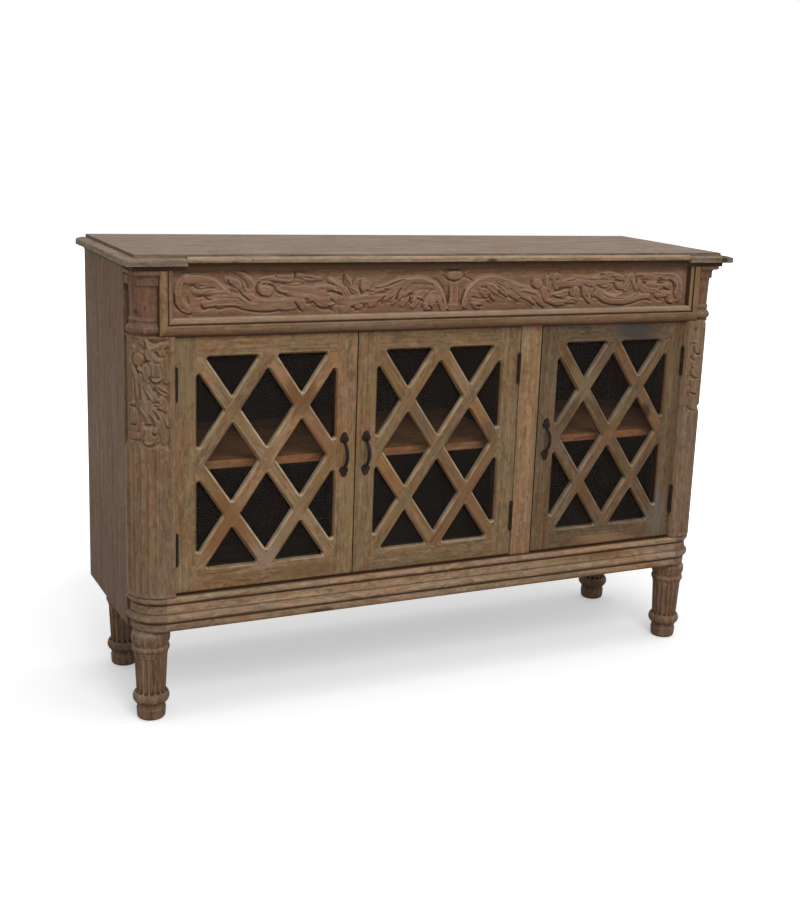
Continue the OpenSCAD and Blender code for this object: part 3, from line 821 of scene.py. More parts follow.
def groove(depth: float, *points: tuple[float, float, float]) -> Stroke:
    """Returns a stroke cut in, a little narrower than drawn."""
    return Stroke(Cut.GROOVE, depth, 0, tuple((x, z, r * GROOVE_WIDTH) for x, z, r in points))


def strokes(bodies: tuple, ridges: tuple, grooves: tuple) -> tuple[Stroke, ...]:
    """Returns the strokes of three tables in the order of carving."""
    rows = ((body, bodies), (ridge, ridges), (groove, grooves))
    return tuple(kind(*row) for kind, table in rows for row in table)


# Tables of strokes. A body is (height, folds, points...), a ridge or groove (depth, points...), and a point is
# (place along the face, height above the floor, half width), all in millimetres and drawn one by one.
# The leaves of the frieze's left half; places run from its left end.
LEFT_BODIES = (
    (4, 1, (24, 876, 6), (12, 864, 8), (8, 848, 9), (9, 832, 10), (16, 818, 11), (26, 810, 9)),
    (4.5, 2, (26, 868, 9), (50, 868, 9), (70, 862, 10), (86, 853, 10), (100, 845, 9)),
    (4.5, 3, (58, 822, 7), (80, 827, 14), (110, 830, 15), (140, 824, 15), (170, 817, 13), (200, 818, 12),
     (228, 820, 14), (246, 823, 11)),
    (4.5, 2, (40, 846, 6), (60, 848, 9), (80, 846, 9), (104, 838, 9)),
    (5, 2, (102, 868, 7), (118, 858, 10), (132, 846, 10), (146, 834, 9), (160, 826, 8)),
    (4.5, 2, (116, 883, 4), (134, 876, 6), (147, 864, 8), (152, 850, 9), (150, 838, 7)),
    (5.5, 0, (176, 849, 17), (177, 849, 17)),
    (5, 1, (166, 866, 6), (182, 869, 7), (200, 869, 9), (224, 868, 9)),
    (5, 1, (212, 848, 11), (236, 846, 15), (258, 842, 15), (272, 838, 12)),
    (5, 1, (232, 874, 6), (252, 870, 8), (272, 868, 6), (286, 867, 4)),
    (5, 2, (284, 834, 24), (304, 834, 24)),
    (4.5, 2, (306, 866, 7), (322, 856, 9), (336, 842, 11), (340, 824, 14), (338, 806, 12)),
    (4.5, 1, (346, 822, 12), (372, 826, 12), (400, 828, 9), (414, 830, 7)),
    (5, 0, (248, 820, 8), (249, 818, 8)),
    (4.5, 0, (248, 811, 5), (249, 811, 5)),
    (5, 2, (340, 872, 4), (346, 862, 7), (352, 850, 8), (364, 838, 7)),
    (5.5, 0, (379, 852, 13), (380, 852, 13)),
    (4, 0, (364, 812, 6), (370, 813, 6)),
    (4, 0, (392, 815, 6), (402, 818, 6)),
    (4.5, 1, (452, 848, 8), (436, 838, 8), (424, 828, 7)),
    (4.5, 1, (474, 850, 8), (458, 838, 9), (446, 826, 8), (440, 818, 5)),
    (4.5, 1, (496, 850, 9), (480, 838, 10), (466, 824, 9), (460, 814, 6)),
    (4.5, 1, (514, 846, 9), (500, 834, 10), (490, 820, 9), (484, 810, 6)),
    (4.5, 3, (536, 838, 12), (526, 824, 13), (518, 810, 12)),
    (5.5, 2, (392, 841, 6), (412, 845, 6), (436, 851, 8), (460, 858, 10), (486, 861, 11), (510, 858, 11),
     (530, 848, 11), (543, 832, 11), (550, 812, 9), (553, 802, 8)),
)
LEFT_RIDGES = (
    (2, (20, 873, 3), (26, 876, 4.5), (40, 876, 4), (55, 875, 3.5), (68, 871, 4), (78, 867, 4), (88, 859, 3.5),
     (96, 849, 3)),
    (1.6, (97, 848, 2.4), (104, 845, 2.2), (111, 839, 1.6)),
    (1.2, (36, 848, 1.6), (44, 847, 1.8), (52, 848, 1.4)),
    (1.2, (49, 842, 1.6), (56, 846, 2), (64, 849, 1.4)),
    (1.2, (42, 857, 2), (52, 859, 1.8), (62, 859, 1.2)),
    (1.2, (76, 844, 2), (86, 846, 2.4), (98, 844, 2)),
    (1, (62, 824, 1.6), (74, 829, 1.8), (92, 831, 1.6), (122, 830, 1.4)),
    (1, (60, 818, 1.6), (76, 821, 2), (100, 821, 2), (126, 819, 1.6)),
    (1.4, (99, 851, 2), (108, 852.5, 1.8)),
    (2, (119, 868, 2), (124, 863, 3), (128, 858, 2.4)),
    (1.8, (133, 862, 2), (135, 856, 3), (136, 848, 2)),
    (1.8, (126, 882, 2.4), (138, 875, 3), (147, 867, 3), (154, 857, 2.6)),
    (1.4, (124, 836, 2), (134, 829, 2.2), (146, 823, 2.2), (160, 820, 1.8)),
    (1.6, (148, 840, 2.2), (155, 834, 2.8), (166, 829, 2.6), (184, 828, 2)),
    (1.8, (158, 862, 2), (164, 868, 2.6), (174, 872, 2.8), (190, 872, 2.6), (198, 867, 2)),
    (1.3, (164, 853, 1.8), (174, 853.5, 2), (184, 851, 1.4)),
    (1.6, (201, 852, 2), (203, 846, 2.4), (210, 843, 2), (220, 842.5, 1.4)),
    (1.2, (202, 867, 2.4), (214, 864, 2.2), (230, 864, 1.6)),
    (1.6, (236, 865, 2.6), (246, 864, 2.4), (256, 861, 1.6)),
    (1.6, (240, 879, 2), (250, 875, 2.6), (264, 872, 2.4), (286, 871, 2)),
    (1.2, (252, 826, 2), (256, 820, 2.4), (254, 814, 1.8)),
    (1.8, (304, 867, 3), (311, 865, 3.6), (322, 856, 2.6), (334, 850, 2)),
    (1.2, (308, 833, 1.8), (318, 833, 1.4)),
    (1.2, (316, 845, 1.8), (326, 843, 1.4)),
    (1, (318, 812, 1.6), (334, 812, 1.4)),
    (1.6, (341, 877, 1.6), (342, 872, 3), (346, 864, 2.2), (350, 856, 1.6)),
    (1.5, (348, 850, 2), (356, 845, 2.2), (362, 840, 2.2), (368, 834, 2)),
    (1.6, (362, 863, 2), (368, 866, 2.4), (376, 866, 2.6), (386, 862, 2.6), (393, 856, 2)),
    (1.5, (378, 839, 2), (388, 838, 2.6), (404, 837.5, 2)),
    (1.6, (404, 850, 1.6), (420, 853, 2.4), (436, 859, 2.6), (452, 865, 2.4)),
    (2.6, (452, 865, 3), (470, 866, 4), (486, 868, 5), (500, 868, 5), (515, 864, 5), (527, 859, 5), (538, 851, 4.5),
     (546, 841, 4), (552, 828, 3.8), (557, 816, 3.6), (559, 806, 3), (559, 798, 2.6)),
    (1.4, (436, 828, 2), (442, 834, 2.4), (446, 842, 1.6)),
    (1.4, (456, 836, 2), (466, 836, 2.4), (474, 841, 2)),
    (1.4, (484, 822, 2.4), (486, 830, 2.6), (492, 838, 1.8)),
    (1.2, (492, 829, 1.8), (500, 828, 1.8), (510, 825, 1.4)),
    (1.3, (514, 835, 1.8), (522, 838, 2), (534, 838, 1.6)),
    (1.1, (520, 831, 1.4), (532, 831, 1.8), (544, 829, 1.4)),
    (1.1, (522, 826, 1.4), (534, 826, 1.8), (546, 824, 1.4)),
    (1.1, (522, 820, 1.4), (534, 820, 1.8), (547, 818, 1.4)),
    (1.1, (524, 814, 1.4), (536, 814, 1.8), (549, 812, 1.4)),
    (1.4, (510, 816, 2), (514, 813, 2.4), (520, 804, 2)),
)
LEFT_GROOVES = (
    (5, (33, 855, 1.6), (38, 857, 3), (42, 853, 2.4), (50, 850.5, 1.5), (62, 852, 1.1), (80, 852, 0.9)),
    (5, (43, 835, 1.7), (48, 835.5, 2), (58, 837.5, 2.2), (61, 834, 2), (64, 831, 2.2), (71, 830.5, 1.2)),
    (5, (53, 821, 1.6), (54, 813, 2.6), (60, 811, 1.7), (65, 815, 2), (77, 815, 2), (79, 819, 1.8), (81, 812, 1.8),
     (92, 812, 1.5), (98, 816, 1.6), (110, 816.5, 2.1), (121, 815, 1.9), (131, 810, 1.9)),
    (5, (131, 810, 1.9), (142, 808, 1.7), (158, 805, 1.9), (170, 804.5, 1.8), (182, 804, 2.3), (196, 805.5, 1.9),
     (206, 807.5, 1.6)),
    (4, (27, 837, 1.6), (28, 830, 1.8), (30, 823, 1.6)),
    (4.5, (1, 842, 2), (1, 828, 2.4), (5, 818, 2.4), (12, 811, 1.8), (21, 805, 1.4), (34, 802.5, 2)),
    (2.5, (14, 817, 1.2), (18, 813, 1.8)),
    (5, (103, 866, 1.8), (104, 859, 2.8), (108, 857, 3), (115, 853, 1.6), (121, 848, 1.1)),
    (3.5, (131, 860, 1.5), (133, 851, 2), (136, 843, 1.3)),
    (3.5, (105, 850, 1), (110, 843, 1.6)),
    (4.5, (124, 847, 2.2), (130, 838, 1.8), (136, 834, 2), (142, 829, 2.1), (147, 825, 1.2)),
    (2.5, (126, 830, 1.4), (133, 824, 1.4)),
    (2, (72, 840, 1), (90, 841, 1.2), (112, 838, 1)),
    (2, (94, 833, 1), (110, 833, 1.2), (126, 831, 1)),
    (2, (94, 827, 1), (118, 827, 1.2)),
    (5, (158, 854, 1.6), (158, 846, 2.3), (163, 839, 2.8), (170, 835, 2.4), (180, 834.5, 1.5)),
    (5, (171, 858, 1.8), (175, 858, 2.2)),
    (6, (179, 858, 1.2), (186, 856, 2.5), (194, 853.5, 2.2), (196, 846, 2.5), (201, 841, 2.4), (206, 839, 2.2),
     (212, 839.5, 2.8), (216, 836.5, 2.8)),
    (3, (162, 866, 1.1), (180, 865.5, 1.2), (192, 863, 1.5), (201, 861, 1.5), (210, 859, 1.7), (217, 856, 1.6),
     (224, 855.5, 1.5), (240, 855, 1.7), (252, 857, 1.2)),
    (4, (195, 872.5, 2), (197, 872, 2.2)),
    (5, (234, 881, 1.6), (234, 875, 2.6), (234.5, 869, 1.7)),
    (3.5, (237, 869, 1.2), (244, 868, 2.1), (251, 865, 1.3)),
    (3.5, (254, 872, 1.2), (261, 870.5, 1.6), (268, 868, 1.8)),
    (2, (188, 822, 1), (205, 823, 1)),
    (2, (188, 828, 1), (205, 829, 1)),
    (6, (234, 823, 1.6), (240, 816, 2.5), (243, 810, 2.8), (248, 806, 2)),
    (5, (261, 820, 2.2), (269, 820.5, 1.8)),
    (5.5, (270, 823, 2.4), (275, 820, 2.3), (280, 813.5, 2.3), (288, 809, 2.3), (298, 807.5, 2.3), (307, 808, 2)),
    (5.5, (304, 813, 2.6), (308, 808, 3.6), (313, 804, 2)),
    (5.5, (301, 842, 2.2), (310, 842.5, 2.5), (320, 839.5, 2.3), (327, 837, 2.6), (331, 834, 1.6)),
    (4, (307, 829, 1.6), (310, 824, 2.4), (318, 820.5, 1.5)),
    (2.5, (286, 848, 1.3), (294, 847, 1)),
    (2.2, (288, 826, 1), (300, 824, 1.2)),
    (2.2, (288, 818, 1), (300, 816, 1.2)),
    (2.5, (315, 816, 1.2), (335, 816, 1.2)),
    (3.5, (302, 858, 1.4), (309, 857, 2.2), (316, 853, 1.5)),
    (5, (335.5, 874, 1.8), (334, 863, 2.5), (335, 856, 2.3), (339.5, 850, 1.2)),
    (3.5, (342.5, 863, 1.2), (345, 856, 1.4), (347, 851, 1.2)),
    (3.5, (349, 848, 1.4), (355, 842.5, 2), (363, 837, 1.3)),
    (3, (353, 862, 1.6), (354, 855, 2)),
    (3.5, (369.5, 861, 1.6), (368, 852, 1.6), (369, 845, 2), (373, 836, 2.4)),
    (4, (381, 843.5, 2), (388, 841.5, 2.1), (396, 840.5, 1.2)),
    (4.5, (402, 847, 2.1), (412, 848, 1.5), (428, 851.5, 1.3), (437, 855.5, 2), (446, 858, 2), (453, 861, 1.8),
     (462, 864, 1.1)),
    (4, (421, 844.5, 2), (430, 844, 2)),
    (5.5, (354, 810, 2.6), (356, 809, 3)),
    (5.5, (379.5, 811, 2.6), (380.5, 808.5, 2.8)),
    (3.5, (359, 804, 1.4), (368, 804.5, 1.6)),
    (3, (369, 816, 1.6), (376, 818, 1.6)),
    (5.5, (422, 831, 2), (417, 825, 2.2), (415, 821, 3), (419, 816, 2.8)),
    (3.5, (428, 818, 1.4), (438, 819.5, 1.3)),
    (3, (403, 817, 1.6), (407, 819, 1.2)),
    (5.5, (457, 844.5, 2.4), (453, 840, 1.7), (449, 832, 1.8), (447.5, 825, 3.6)),
    (5.5, (461, 827, 1.2), (470, 830, 1.4), (476, 834.5, 2.6), (482, 834, 2)),
    (5.5, (477, 833, 2), (476, 821, 2.2), (480, 816.5, 3)),
    (5, (493, 825, 1.7), (500, 822, 2), (508, 818.5, 2.6)),
    (3.5, (506, 814, 2), (506, 806, 2.2)),
    (5.5, (518, 810, 1.9), (526, 806, 2.5), (528, 800, 2.4)),
    (5.5, (559, 801, 2), (561, 798, 3)),
    (2.6, (480, 856, 2.4), (492, 855, 2.4), (508, 854.5, 2.2), (526, 852, 1.8)),
    (2.2, (494, 843, 1.2), (512, 844, 1.4), (532, 842, 1.2)),
    (3, (528, 864, 1.4), (537, 862, 2.2), (543, 856, 2.2), (550, 847, 2.2), (556, 838, 2), (560, 826, 2),
     (561.5, 812, 1.8)),
    (3, (547, 844, 1.3), (549, 836, 1.3)),
    (3, (548, 824, 1.3), (551, 814, 1.3)),
)
# The leaves of its right half, which the carver varied from the left.
RIGHT_BODIES = (
    (5.5, 2, (597, 806, 7), (600, 822, 11), (608, 840, 12), (624, 853, 12), (648, 861, 12), (676, 858, 11),
     (702, 851, 9), (724, 845, 8), (746, 839, 8), (766, 833, 7)),
    (4.5, 3, (613, 838, 12), (622, 824, 13), (629, 811, 12)),
    (4.5, 1, (636, 846, 9), (648, 834, 10), (658, 824, 9), (666, 819, 6)),
    (4.5, 1, (656, 850, 9), (669, 841, 10), (681, 834, 8), (695, 827, 6)),
    (4.5, 1, (688, 848, 9), (702, 838, 10), (714, 827, 9), (722, 817, 6)),
    (4.5, 2, (704, 836, 8), (728, 832, 10), (746, 822, 9), (760, 809, 6)),
    (4.5, 1, (750, 834, 8), (768, 826, 9), (776, 814, 8), (784, 804, 6)),
    (4, 1, (786, 838, 8), (790, 824, 8), (799, 811, 5)),
    (5.5, 0, (770, 852, 12), (771, 851, 12)),
    (4.5, 1, (792, 864, 6), (795, 852, 8), (798, 842, 7)),
    (4, 1, (804, 866, 6), (816, 868, 6), (826, 862, 5)),
    (4.5, 1, (811, 858, 6), (813, 849, 7), (817, 842, 5)),
    (5, 1, (807, 827, 5), (822, 829, 9), (838, 831, 10), (847, 833, 7)),
    (4.5, 2, (800, 814, 6), (820, 811, 8), (845, 813, 8), (865, 815, 7)),
    (4.5, 2, (824, 851, 8), (850, 852, 10), (880, 853, 10), (906, 852, 9), (930, 855, 9), (954, 857, 8)),
    (4.5, 1, (862, 824, 8), (867, 834, 9), (864, 838, 7)),
    (4.5, 1, (884, 843, 7), (889, 830, 8), (895, 818, 7), (900, 809, 5)),
    (4.5, 1, (896, 842, 6), (902, 831, 6), (905, 823, 5)),
    (5, 2, (911, 840, 8), (921, 826, 11), (940, 816, 12), (965, 811, 11), (990, 811, 10), (1010, 815, 9),
     (1030, 820, 8), (1050, 820, 7)),
    (4.5, 0, (932, 845, 9), (950, 846, 11)),
    (5, 1, (902, 862, 6), (922, 865, 7), (940, 870, 7), (958, 867, 8), (975, 863, 8), (983, 856, 7)),
    (5, 0, (974, 845, 8), (979, 842, 8)),
    (4.5, 1, (989, 838, 7), (997, 851, 9), (1003, 866, 7)),
    (4.5, 1, (1006, 866, 5), (1011, 852, 6), (1019, 839, 6)),
    (4.5, 1, (1024, 866, 7), (1042, 866, 8), (1058, 862, 8), (1070, 856, 7)),
    (5, 1, (1026, 852, 6), (1030, 840, 8), (1046, 833, 9), (1062, 833, 8), (1074, 831, 6)),
    (4.5, 0, (1052, 847, 9), (1074, 846, 7)),
    (5, 1, (1062, 868, 6), (1088, 865, 8), (1110, 862, 9), (1126, 853, 9), (1134, 840, 9), (1137, 824, 9),
     (1133, 812, 8)),
    (5, 1, (1078, 840, 6), (1096, 845, 9), (1109, 841, 8), (1112, 829, 6)),
    (4.5, 0, (1074, 823, 7), (1092, 826, 9), (1108, 824, 8), (1113, 811, 9)),
)
RIGHT_RIDGES = (
    (2.6, (592, 800, 2.6), (592, 814, 3.4), (597, 829, 3.8), (605, 843, 4.4), (617, 856, 4.8), (630, 865, 5),
     (650, 869, 4.6), (667, 869, 4.6), (682, 865, 4.2), (696, 861, 3.4), (712, 856, 2.8), (726, 851, 2)),
    (1.6, (612, 839, 2.4), (624, 838.5, 2.8), (635, 836, 2)),
    (1.2, (633, 843, 1.8), (641, 842, 2), (650, 840, 1.4)),
    (1.8, (648, 854, 1.8), (658, 852, 2.2), (668, 848.5, 3), (674, 843, 2.8), (676.5, 838, 2)),
    (1.4, (612, 815, 1.6), (622, 813.5, 2.2), (630, 812, 1.4)),
    (1.4, (688, 842, 1.8), (696, 834, 2.4), (704, 831, 1.8)),
    (1.6, (700, 858, 1.8), (714, 850, 2), (728, 846, 1.6)),
    (1.4, (710, 837, 1.6), (719, 832, 2), (727, 827, 1.4)),
    (1.8, (727, 839.5, 1.8), (742, 838.5, 2.4), (756, 836, 2.6), (768, 831.5, 2)),
    (1.4, (751, 822, 1.6), (761, 816, 2), (770, 810, 1.4)),
    (1.4, (772, 829, 2), (778, 827, 2.4), (780, 818, 1.8)),
    (1.6, (760, 861, 2), (772, 862, 2.4), (780, 857, 2.8), (782, 848, 2)),
    (1.4, (792, 862, 2), (794, 850, 2.4)),
    (1.2, (820, 857, 1.8), (823, 853, 1.6)),
    (1.2, (814, 873, 2), (820, 870, 2)),
    (1.8, (806, 829, 2), (815, 831.5, 2.2), (826, 831.5, 1.6)),
    (1.4, (811, 828, 1.6), (823, 825, 1.8)),
    (1.6, (834, 821, 1.6), (845, 822, 2.2), (856, 819.5, 2), (866, 814.5, 1.6)),
    (1.6, (856, 841, 1.6), (864, 842.5, 2.4), (872, 839.5, 2.4), (875.5, 832, 2.4), (877, 825, 1.8)),
    (1.4, (858, 864.5, 1.6), (872, 864.5, 2), (898, 864, 1.6)),
    (1.4, (884, 843, 1.6), (889, 838, 2), (893, 829, 1.6)),
    (1.6, (897, 826, 1.6), (899, 815, 2.6), (903, 807, 1.8)),
    (1.4, (913, 833, 1.8), (912, 824, 2.6)),
    (1.6, (904, 862, 2.2), (914, 863.5, 2.8), (924, 861, 2)),
    (1.8, (929, 873, 2), (938, 875.5, 2.8), (949, 875, 2.6), (956, 872, 2), (963, 871.5, 2.2)),
    (1.8, (957, 866.5, 2), (969, 868.5, 3), (979, 865.5, 3), (984.5, 859, 2)),
    (1.4, (947, 852.5, 2), (962, 853.5, 2.2)),
    (2, (924, 840, 2), (934, 834, 2.8), (946, 827.5, 2.8), (960, 824.5, 2.8), (971, 823.5, 2.6), (983, 827, 1.8)),
    (1.4, (966, 849, 1.8), (975, 850.5, 2)),
    (1.6, (1008, 858, 2), (1011, 850, 2.8), (1014.5, 841, 2)),
    (1.6, (1027, 868.5, 2.6), (1036, 869, 3), (1046, 866.5, 2.2)),
    (1.4, (1023, 858.5, 2.4), (1026, 857, 2)),
    (1.2, (1030, 829, 2), (1036, 824, 2), (1050, 822.5, 1.8), (1062, 823, 1.4)),
    (1.6, (1055, 834.5, 1.6), (1065, 837.5, 2.4), (1073, 835, 2.4), (1079, 831, 2)),
    (1.6, (1088, 858, 2), (1096, 857, 2.6), (1104, 852.5, 2)),
    (1.6, (1072, 846, 2.2), (1090, 843, 1.8), (1104, 845, 2)),
    (2.2, (1088, 870, 3), (1104, 871, 3.6), (1118, 868, 3.4), (1129, 862.5, 3.4), (1137, 856, 3.2), (1141.5, 847, 3),
     (1143.5, 836, 2.4)),
    (1.8, (1116, 858, 2), (1123, 852, 2.4), (1127, 843, 2.6), (1127, 833, 2.2), (1125, 824, 1.8)),
    (1.2, (1076, 824, 1.8), (1083, 824, 1.6)),
    (1.4, (1104, 827, 1.8), (1114, 825, 2), (1118, 818, 1.8)),
    (1.2, (1112, 809, 2), (1116, 805, 2)),
)
RIGHT_GROOVES = (
    (4, (597, 867.5, 1.4), (606, 865, 1.8), (613, 862, 2.6), (617, 859.5, 1.4)),
    (4.5, (591, 811, 2.2), (592, 820, 2.4), (595, 832, 2), (599, 842, 1.6)),
    (4.5, (592, 807, 1.6), (597, 801.5, 2.6), (608, 800, 1.6)),
    (3.5, (636, 846.5, 1.4), (643, 846, 2.1), (650, 843.5, 1.5)),
    (4.5, (616, 825.5, 1.8), (624, 825, 2.2), (631, 823, 1.4)),
    (4.5, (634, 822.5, 1.2), (643, 822, 2.2), (650, 822.5, 1.9), (655, 824.5, 1.2)),
    (5.5, (657, 831, 1.7), (657.5, 824, 2.4), (661, 819.5, 2.5), (666, 816.5, 3.2), (670, 815.5, 2)),
    (5.5, (628, 807.5, 1.7), (635, 806.5, 3), (642, 806.5, 1.7)),
    (3, (653, 836, 1.3), (656, 831, 1.3)),
    (5.5, (676.5, 839, 1.7), (679, 834.5, 3.2), (683, 830, 2)),
    (5, (686, 829.5, 2.2), (691, 827, 1.8), (697, 823.5, 2.8)),
    (3, (669, 857.5, 1.3), (676, 853, 1.7), (684, 849.5, 2), (690, 846, 1.6)),
    (2.5, (678, 857.5, 1.2), (686, 854, 1.4)),
    (5.5, (702, 826.5, 2), (709, 822.5, 2.1), (716, 818.5, 2), (722, 815, 3.2), (727, 812.5, 1.9)),
    (3.5, (703, 842, 1.5), (711, 838, 2), (718, 833, 1.8), (728, 825.5, 1.6)),
    (2.5, (726, 843, 1.4), (734, 841.5, 1.3)),
    (2.5, (733, 834, 1.2), (746, 832.5, 1.5), (755, 829, 1.5), (764, 827, 1.2)),
    (5.5, (731, 821.5, 1.8), (740, 818.5, 2), (748, 815, 2.7), (755, 809.5, 2.4), (762, 806, 2.9), (768, 804, 1.6)),
    (4.5, (757, 857, 1.6), (754, 850.5, 2.2), (757, 845, 2.6), (762, 841.5, 2.8), (769, 840, 1.6)),
    (3.5, (782, 859, 1.6), (784, 855, 2.5), (785, 848, 1.6)),
    (5, (771, 811, 1.7), (774, 806.5, 2.2), (780, 802.5, 2.6), (788, 800, 2)),
    (5, (793, 811, 1.9), (800, 808, 2.1), (806, 804.5, 2.3), (813, 801.5, 2.1), (826, 799, 1.8)),
    (3, (797, 858, 2), (800, 857.5, 2.2)),
    (3, (802, 864, 1.5), (804, 868.5, 2), (808, 870.5, 2)),
    (3, (796, 871, 1.8), (798, 870, 1.4)),
    (3, (812, 861, 1.6), (817, 857.5, 1.8)),
    (5, (812, 835, 1.3), (819, 836.5, 1.9), (824, 837, 2.8), (832, 839.5, 1.6), (840, 841, 1.8), (847, 841.5, 2.7)),
    (4.5, (806, 826.5, 1.4), (814, 823, 2), (820, 820.5, 2.4), (829, 818, 2), (842, 817.5, 1.4)),
    (3, (807, 817, 1.3), (816, 815.5, 1.5)),
    (5, (850, 840, 1.5), (848, 833, 2.1), (848, 827, 2.9), (853, 823.5, 2.1), (861, 821, 1.4)),
    (3.5, (854, 817.5, 1.2), (861, 815, 1.6), (867, 812, 1.4)),
    (5, (838, 809.5, 1.4), (845, 806.5, 2.3), (853, 806.5, 2.4), (861, 807, 2)),
    (3, (841, 855, 1.6), (850, 857, 2), (862, 858.5, 2)),
    (2.5, (862, 861.5, 1.3), (880, 861, 1.5), (896, 858.5, 1.6), (912, 856.5, 1.5)),
    (5.5, (876, 844, 1.4), (877.5, 836, 2), (879, 829, 2.1), (880, 822.5, 3.3), (885, 818.5, 1.9), (890, 816, 2.1),
     (893, 810, 2.1), (897, 807.5, 2.5), (903, 805.5, 2)),
    (4, (890, 824, 1.2), (894, 822, 2.2)),
    (4, (903, 824, 1.3), (906, 821, 1.6), (909, 818.5, 2)),
    (3.5, (911, 839, 1.6), (911, 831, 1.3)),
    (4, (882, 848.5, 1.5), (889, 845.5, 1.8), (897, 843, 2), (906, 841.5, 1.8)),
    (3, (914, 845, 1.3), (928, 846, 1.5), (944, 848, 1.3)),
    (4.5, (923, 869, 1.5), (928, 869.5, 2.4), (933, 868.5, 1.6)),
    (3, (922, 858, 1.4), (934, 858, 1.5), (942, 857, 1.2)),
    (4, (953, 863, 1.6), (963, 862.5, 2)),
    (4, (969, 856, 1.5), (977, 854, 2.1), (985, 853.5, 2.2)),
    (6, (948, 850.5, 1.2), (958, 850, 1.8), (963, 848, 3), (963.5, 841, 3.2), (968, 836, 2.2), (975, 834.5, 2.3),
     (984, 834.5, 1.6)),
    (5.5, (925, 842, 2.2), (931, 840, 1.8), (938, 838.5, 2.9), (944, 839.5, 1.5)),
    (2.5, (928, 829, 1.2), (944, 820, 1.5), (962, 816.5, 1.4), (986, 816.5, 1.2)),
    (5.5, (913, 820, 2), (922, 817.5, 2), (929, 810.5, 2.8), (937, 807, 2.2), (948, 804.5, 2), (960, 802.5, 2.1),
     (975, 801.5, 2.2), (990, 801.5, 2.1)),
    (5.5, (990, 801.5, 2.1), (1001, 803.5, 2.4), (1012, 805, 1.9), (1022, 808, 2), (1031, 811.5, 2.1), (1040, 813, 2),
     (1049, 813.5, 2.3), (1054, 811.5, 3), (1063, 808.5, 2.2)),
    (4, (1003, 853.5, 1.5), (1005.5, 850.5, 2.4)),
    (4.5, (1020, 856.5, 2), (1018, 851, 2.9), (1017, 845, 1.6)),
    (4, (1016, 858.5, 1.4), (1019, 862, 2), (1026, 863, 2.1), (1034, 863, 2.2)),
    (5.5, (1037, 849.5, 2.3), (1043, 849, 2.8)),
    (2.5, (987, 836, 1.4), (996, 846, 1.2), (1000, 858, 1)),
    (3, (1012, 822, 1.3), (1024, 824, 1.2)),
    (3, (1044, 829, 1.4), (1053, 828, 1.7), (1066, 828, 1.2)),
    (3, (1056, 833, 1.2), (1066, 833.5, 1.3)),
    (3.5, (1069, 855.5, 1.2), (1077, 852.5, 1.9), (1086, 854, 1.3)),
    (4, (1071, 849.5, 1.4), (1081, 849, 2.2), (1092, 848.5, 1.5)),
    (2.5, (1048, 842, 1.2), (1062, 840.5, 1.4)),
    (5.5, (1104, 855, 1.6), (1110, 853, 2.2), (1116, 849.5, 2.7), (1119.5, 843, 2.7), (1121, 835, 2.5),
     (1121, 826, 2.3), (1121.5, 820, 1.9), (1125, 815, 2.8), (1128, 812.5, 1.9)),
    (2.5, (1094, 864.5, 1.2), (1106, 865, 1.6), (1119, 863, 1.2)),
    (2.5, (1130, 846, 1.2), (1132.5, 836, 1.6), (1131, 826, 1.2)),
    (5, (1089, 840, 1.9), (1094, 836.5, 1.9), (1100, 834, 2.7), (1106, 833.5, 1.9)),
    (3, (1074, 828, 1.3), (1086, 828, 1.5)),
    (5, (1070, 819, 1.6), (1073.5, 814.5, 2.2), (1078, 811.5, 2.1), (1085, 810.5, 2.7), (1089, 810, 1.6)),
    (5, (1103, 820.5, 1.5), (1099, 815, 2.6), (1100, 808, 2.6), (1104, 803.5, 2.3), (1111, 801.5, 2),
     (1118, 801, 1.6)),
    (3.5, (1130, 808, 1.6), (1138, 809, 1.7)),
    (2.5, (1110, 838, 1.2), (1114, 832, 1.4)),
)
# The left post: a rosette with leaves that hang and curl below it; places run from the inner edge.
ROSETTE_BODIES = (
    (4.5, 1, (84, 620, 9), (80, 606, 9), (78, 592, 8)),
    (4.5, 1, (24, 735, 9), (20, 720, 9), (18, 700, 8), (16, 684, 7)),
    (4.5, 1, (24, 648, 8), (18, 636, 7), (14, 620, 6), (13, 600, 5)),
    (4.5, 1, (36, 674, 8), (28, 668, 8), (18, 660, 7)),
    (5, 1, (56, 676, 7), (48, 662, 8), (40, 650, 8), (30, 640, 8), (20, 632, 7)),
    (5, 2, (50, 640, 8), (42, 628, 9), (34, 614, 9), (28, 600, 8), (22, 584, 7), (20, 568, 6)),
    (5, 2, (70, 690, 8), (70, 670, 9), (68, 650, 9), (62, 636, 9), (55, 622, 8), (50, 606, 7)),
    (5, 1, (62, 600, 6), (63, 584, 6), (60, 572, 6), (52, 565, 5)),
    (5, 1, (38, 594, 6), (37, 582, 6), (42, 571, 6), (50, 565, 5)),
    (5, 0, (50, 589, 8), (50, 578, 9)),
    (5, 2, (62, 757, 8), (50, 748, 9), (40, 744, 10), (28, 748, 9), (16, 750, 6)),
    (5, 1, (56, 708, 8), (54, 694, 9), (51, 685, 7)),
    (5.5, 1, (50, 738, 8), (44, 726, 12), (36, 716, 13), (35, 700, 14), (35, 691, 11)),
    (5, 1, (84, 742, 7), (88, 726, 7), (86, 712, 7), (80, 700, 6), (76, 688, 5)),
    (7, 0, (71, 722, 13), (72, 722, 13)),
    (5.5, 0, (69, 706, 5), (64, 703, 5)),
    (5.5, 0, (74, 578, 8), (92, 578, 8)),
)
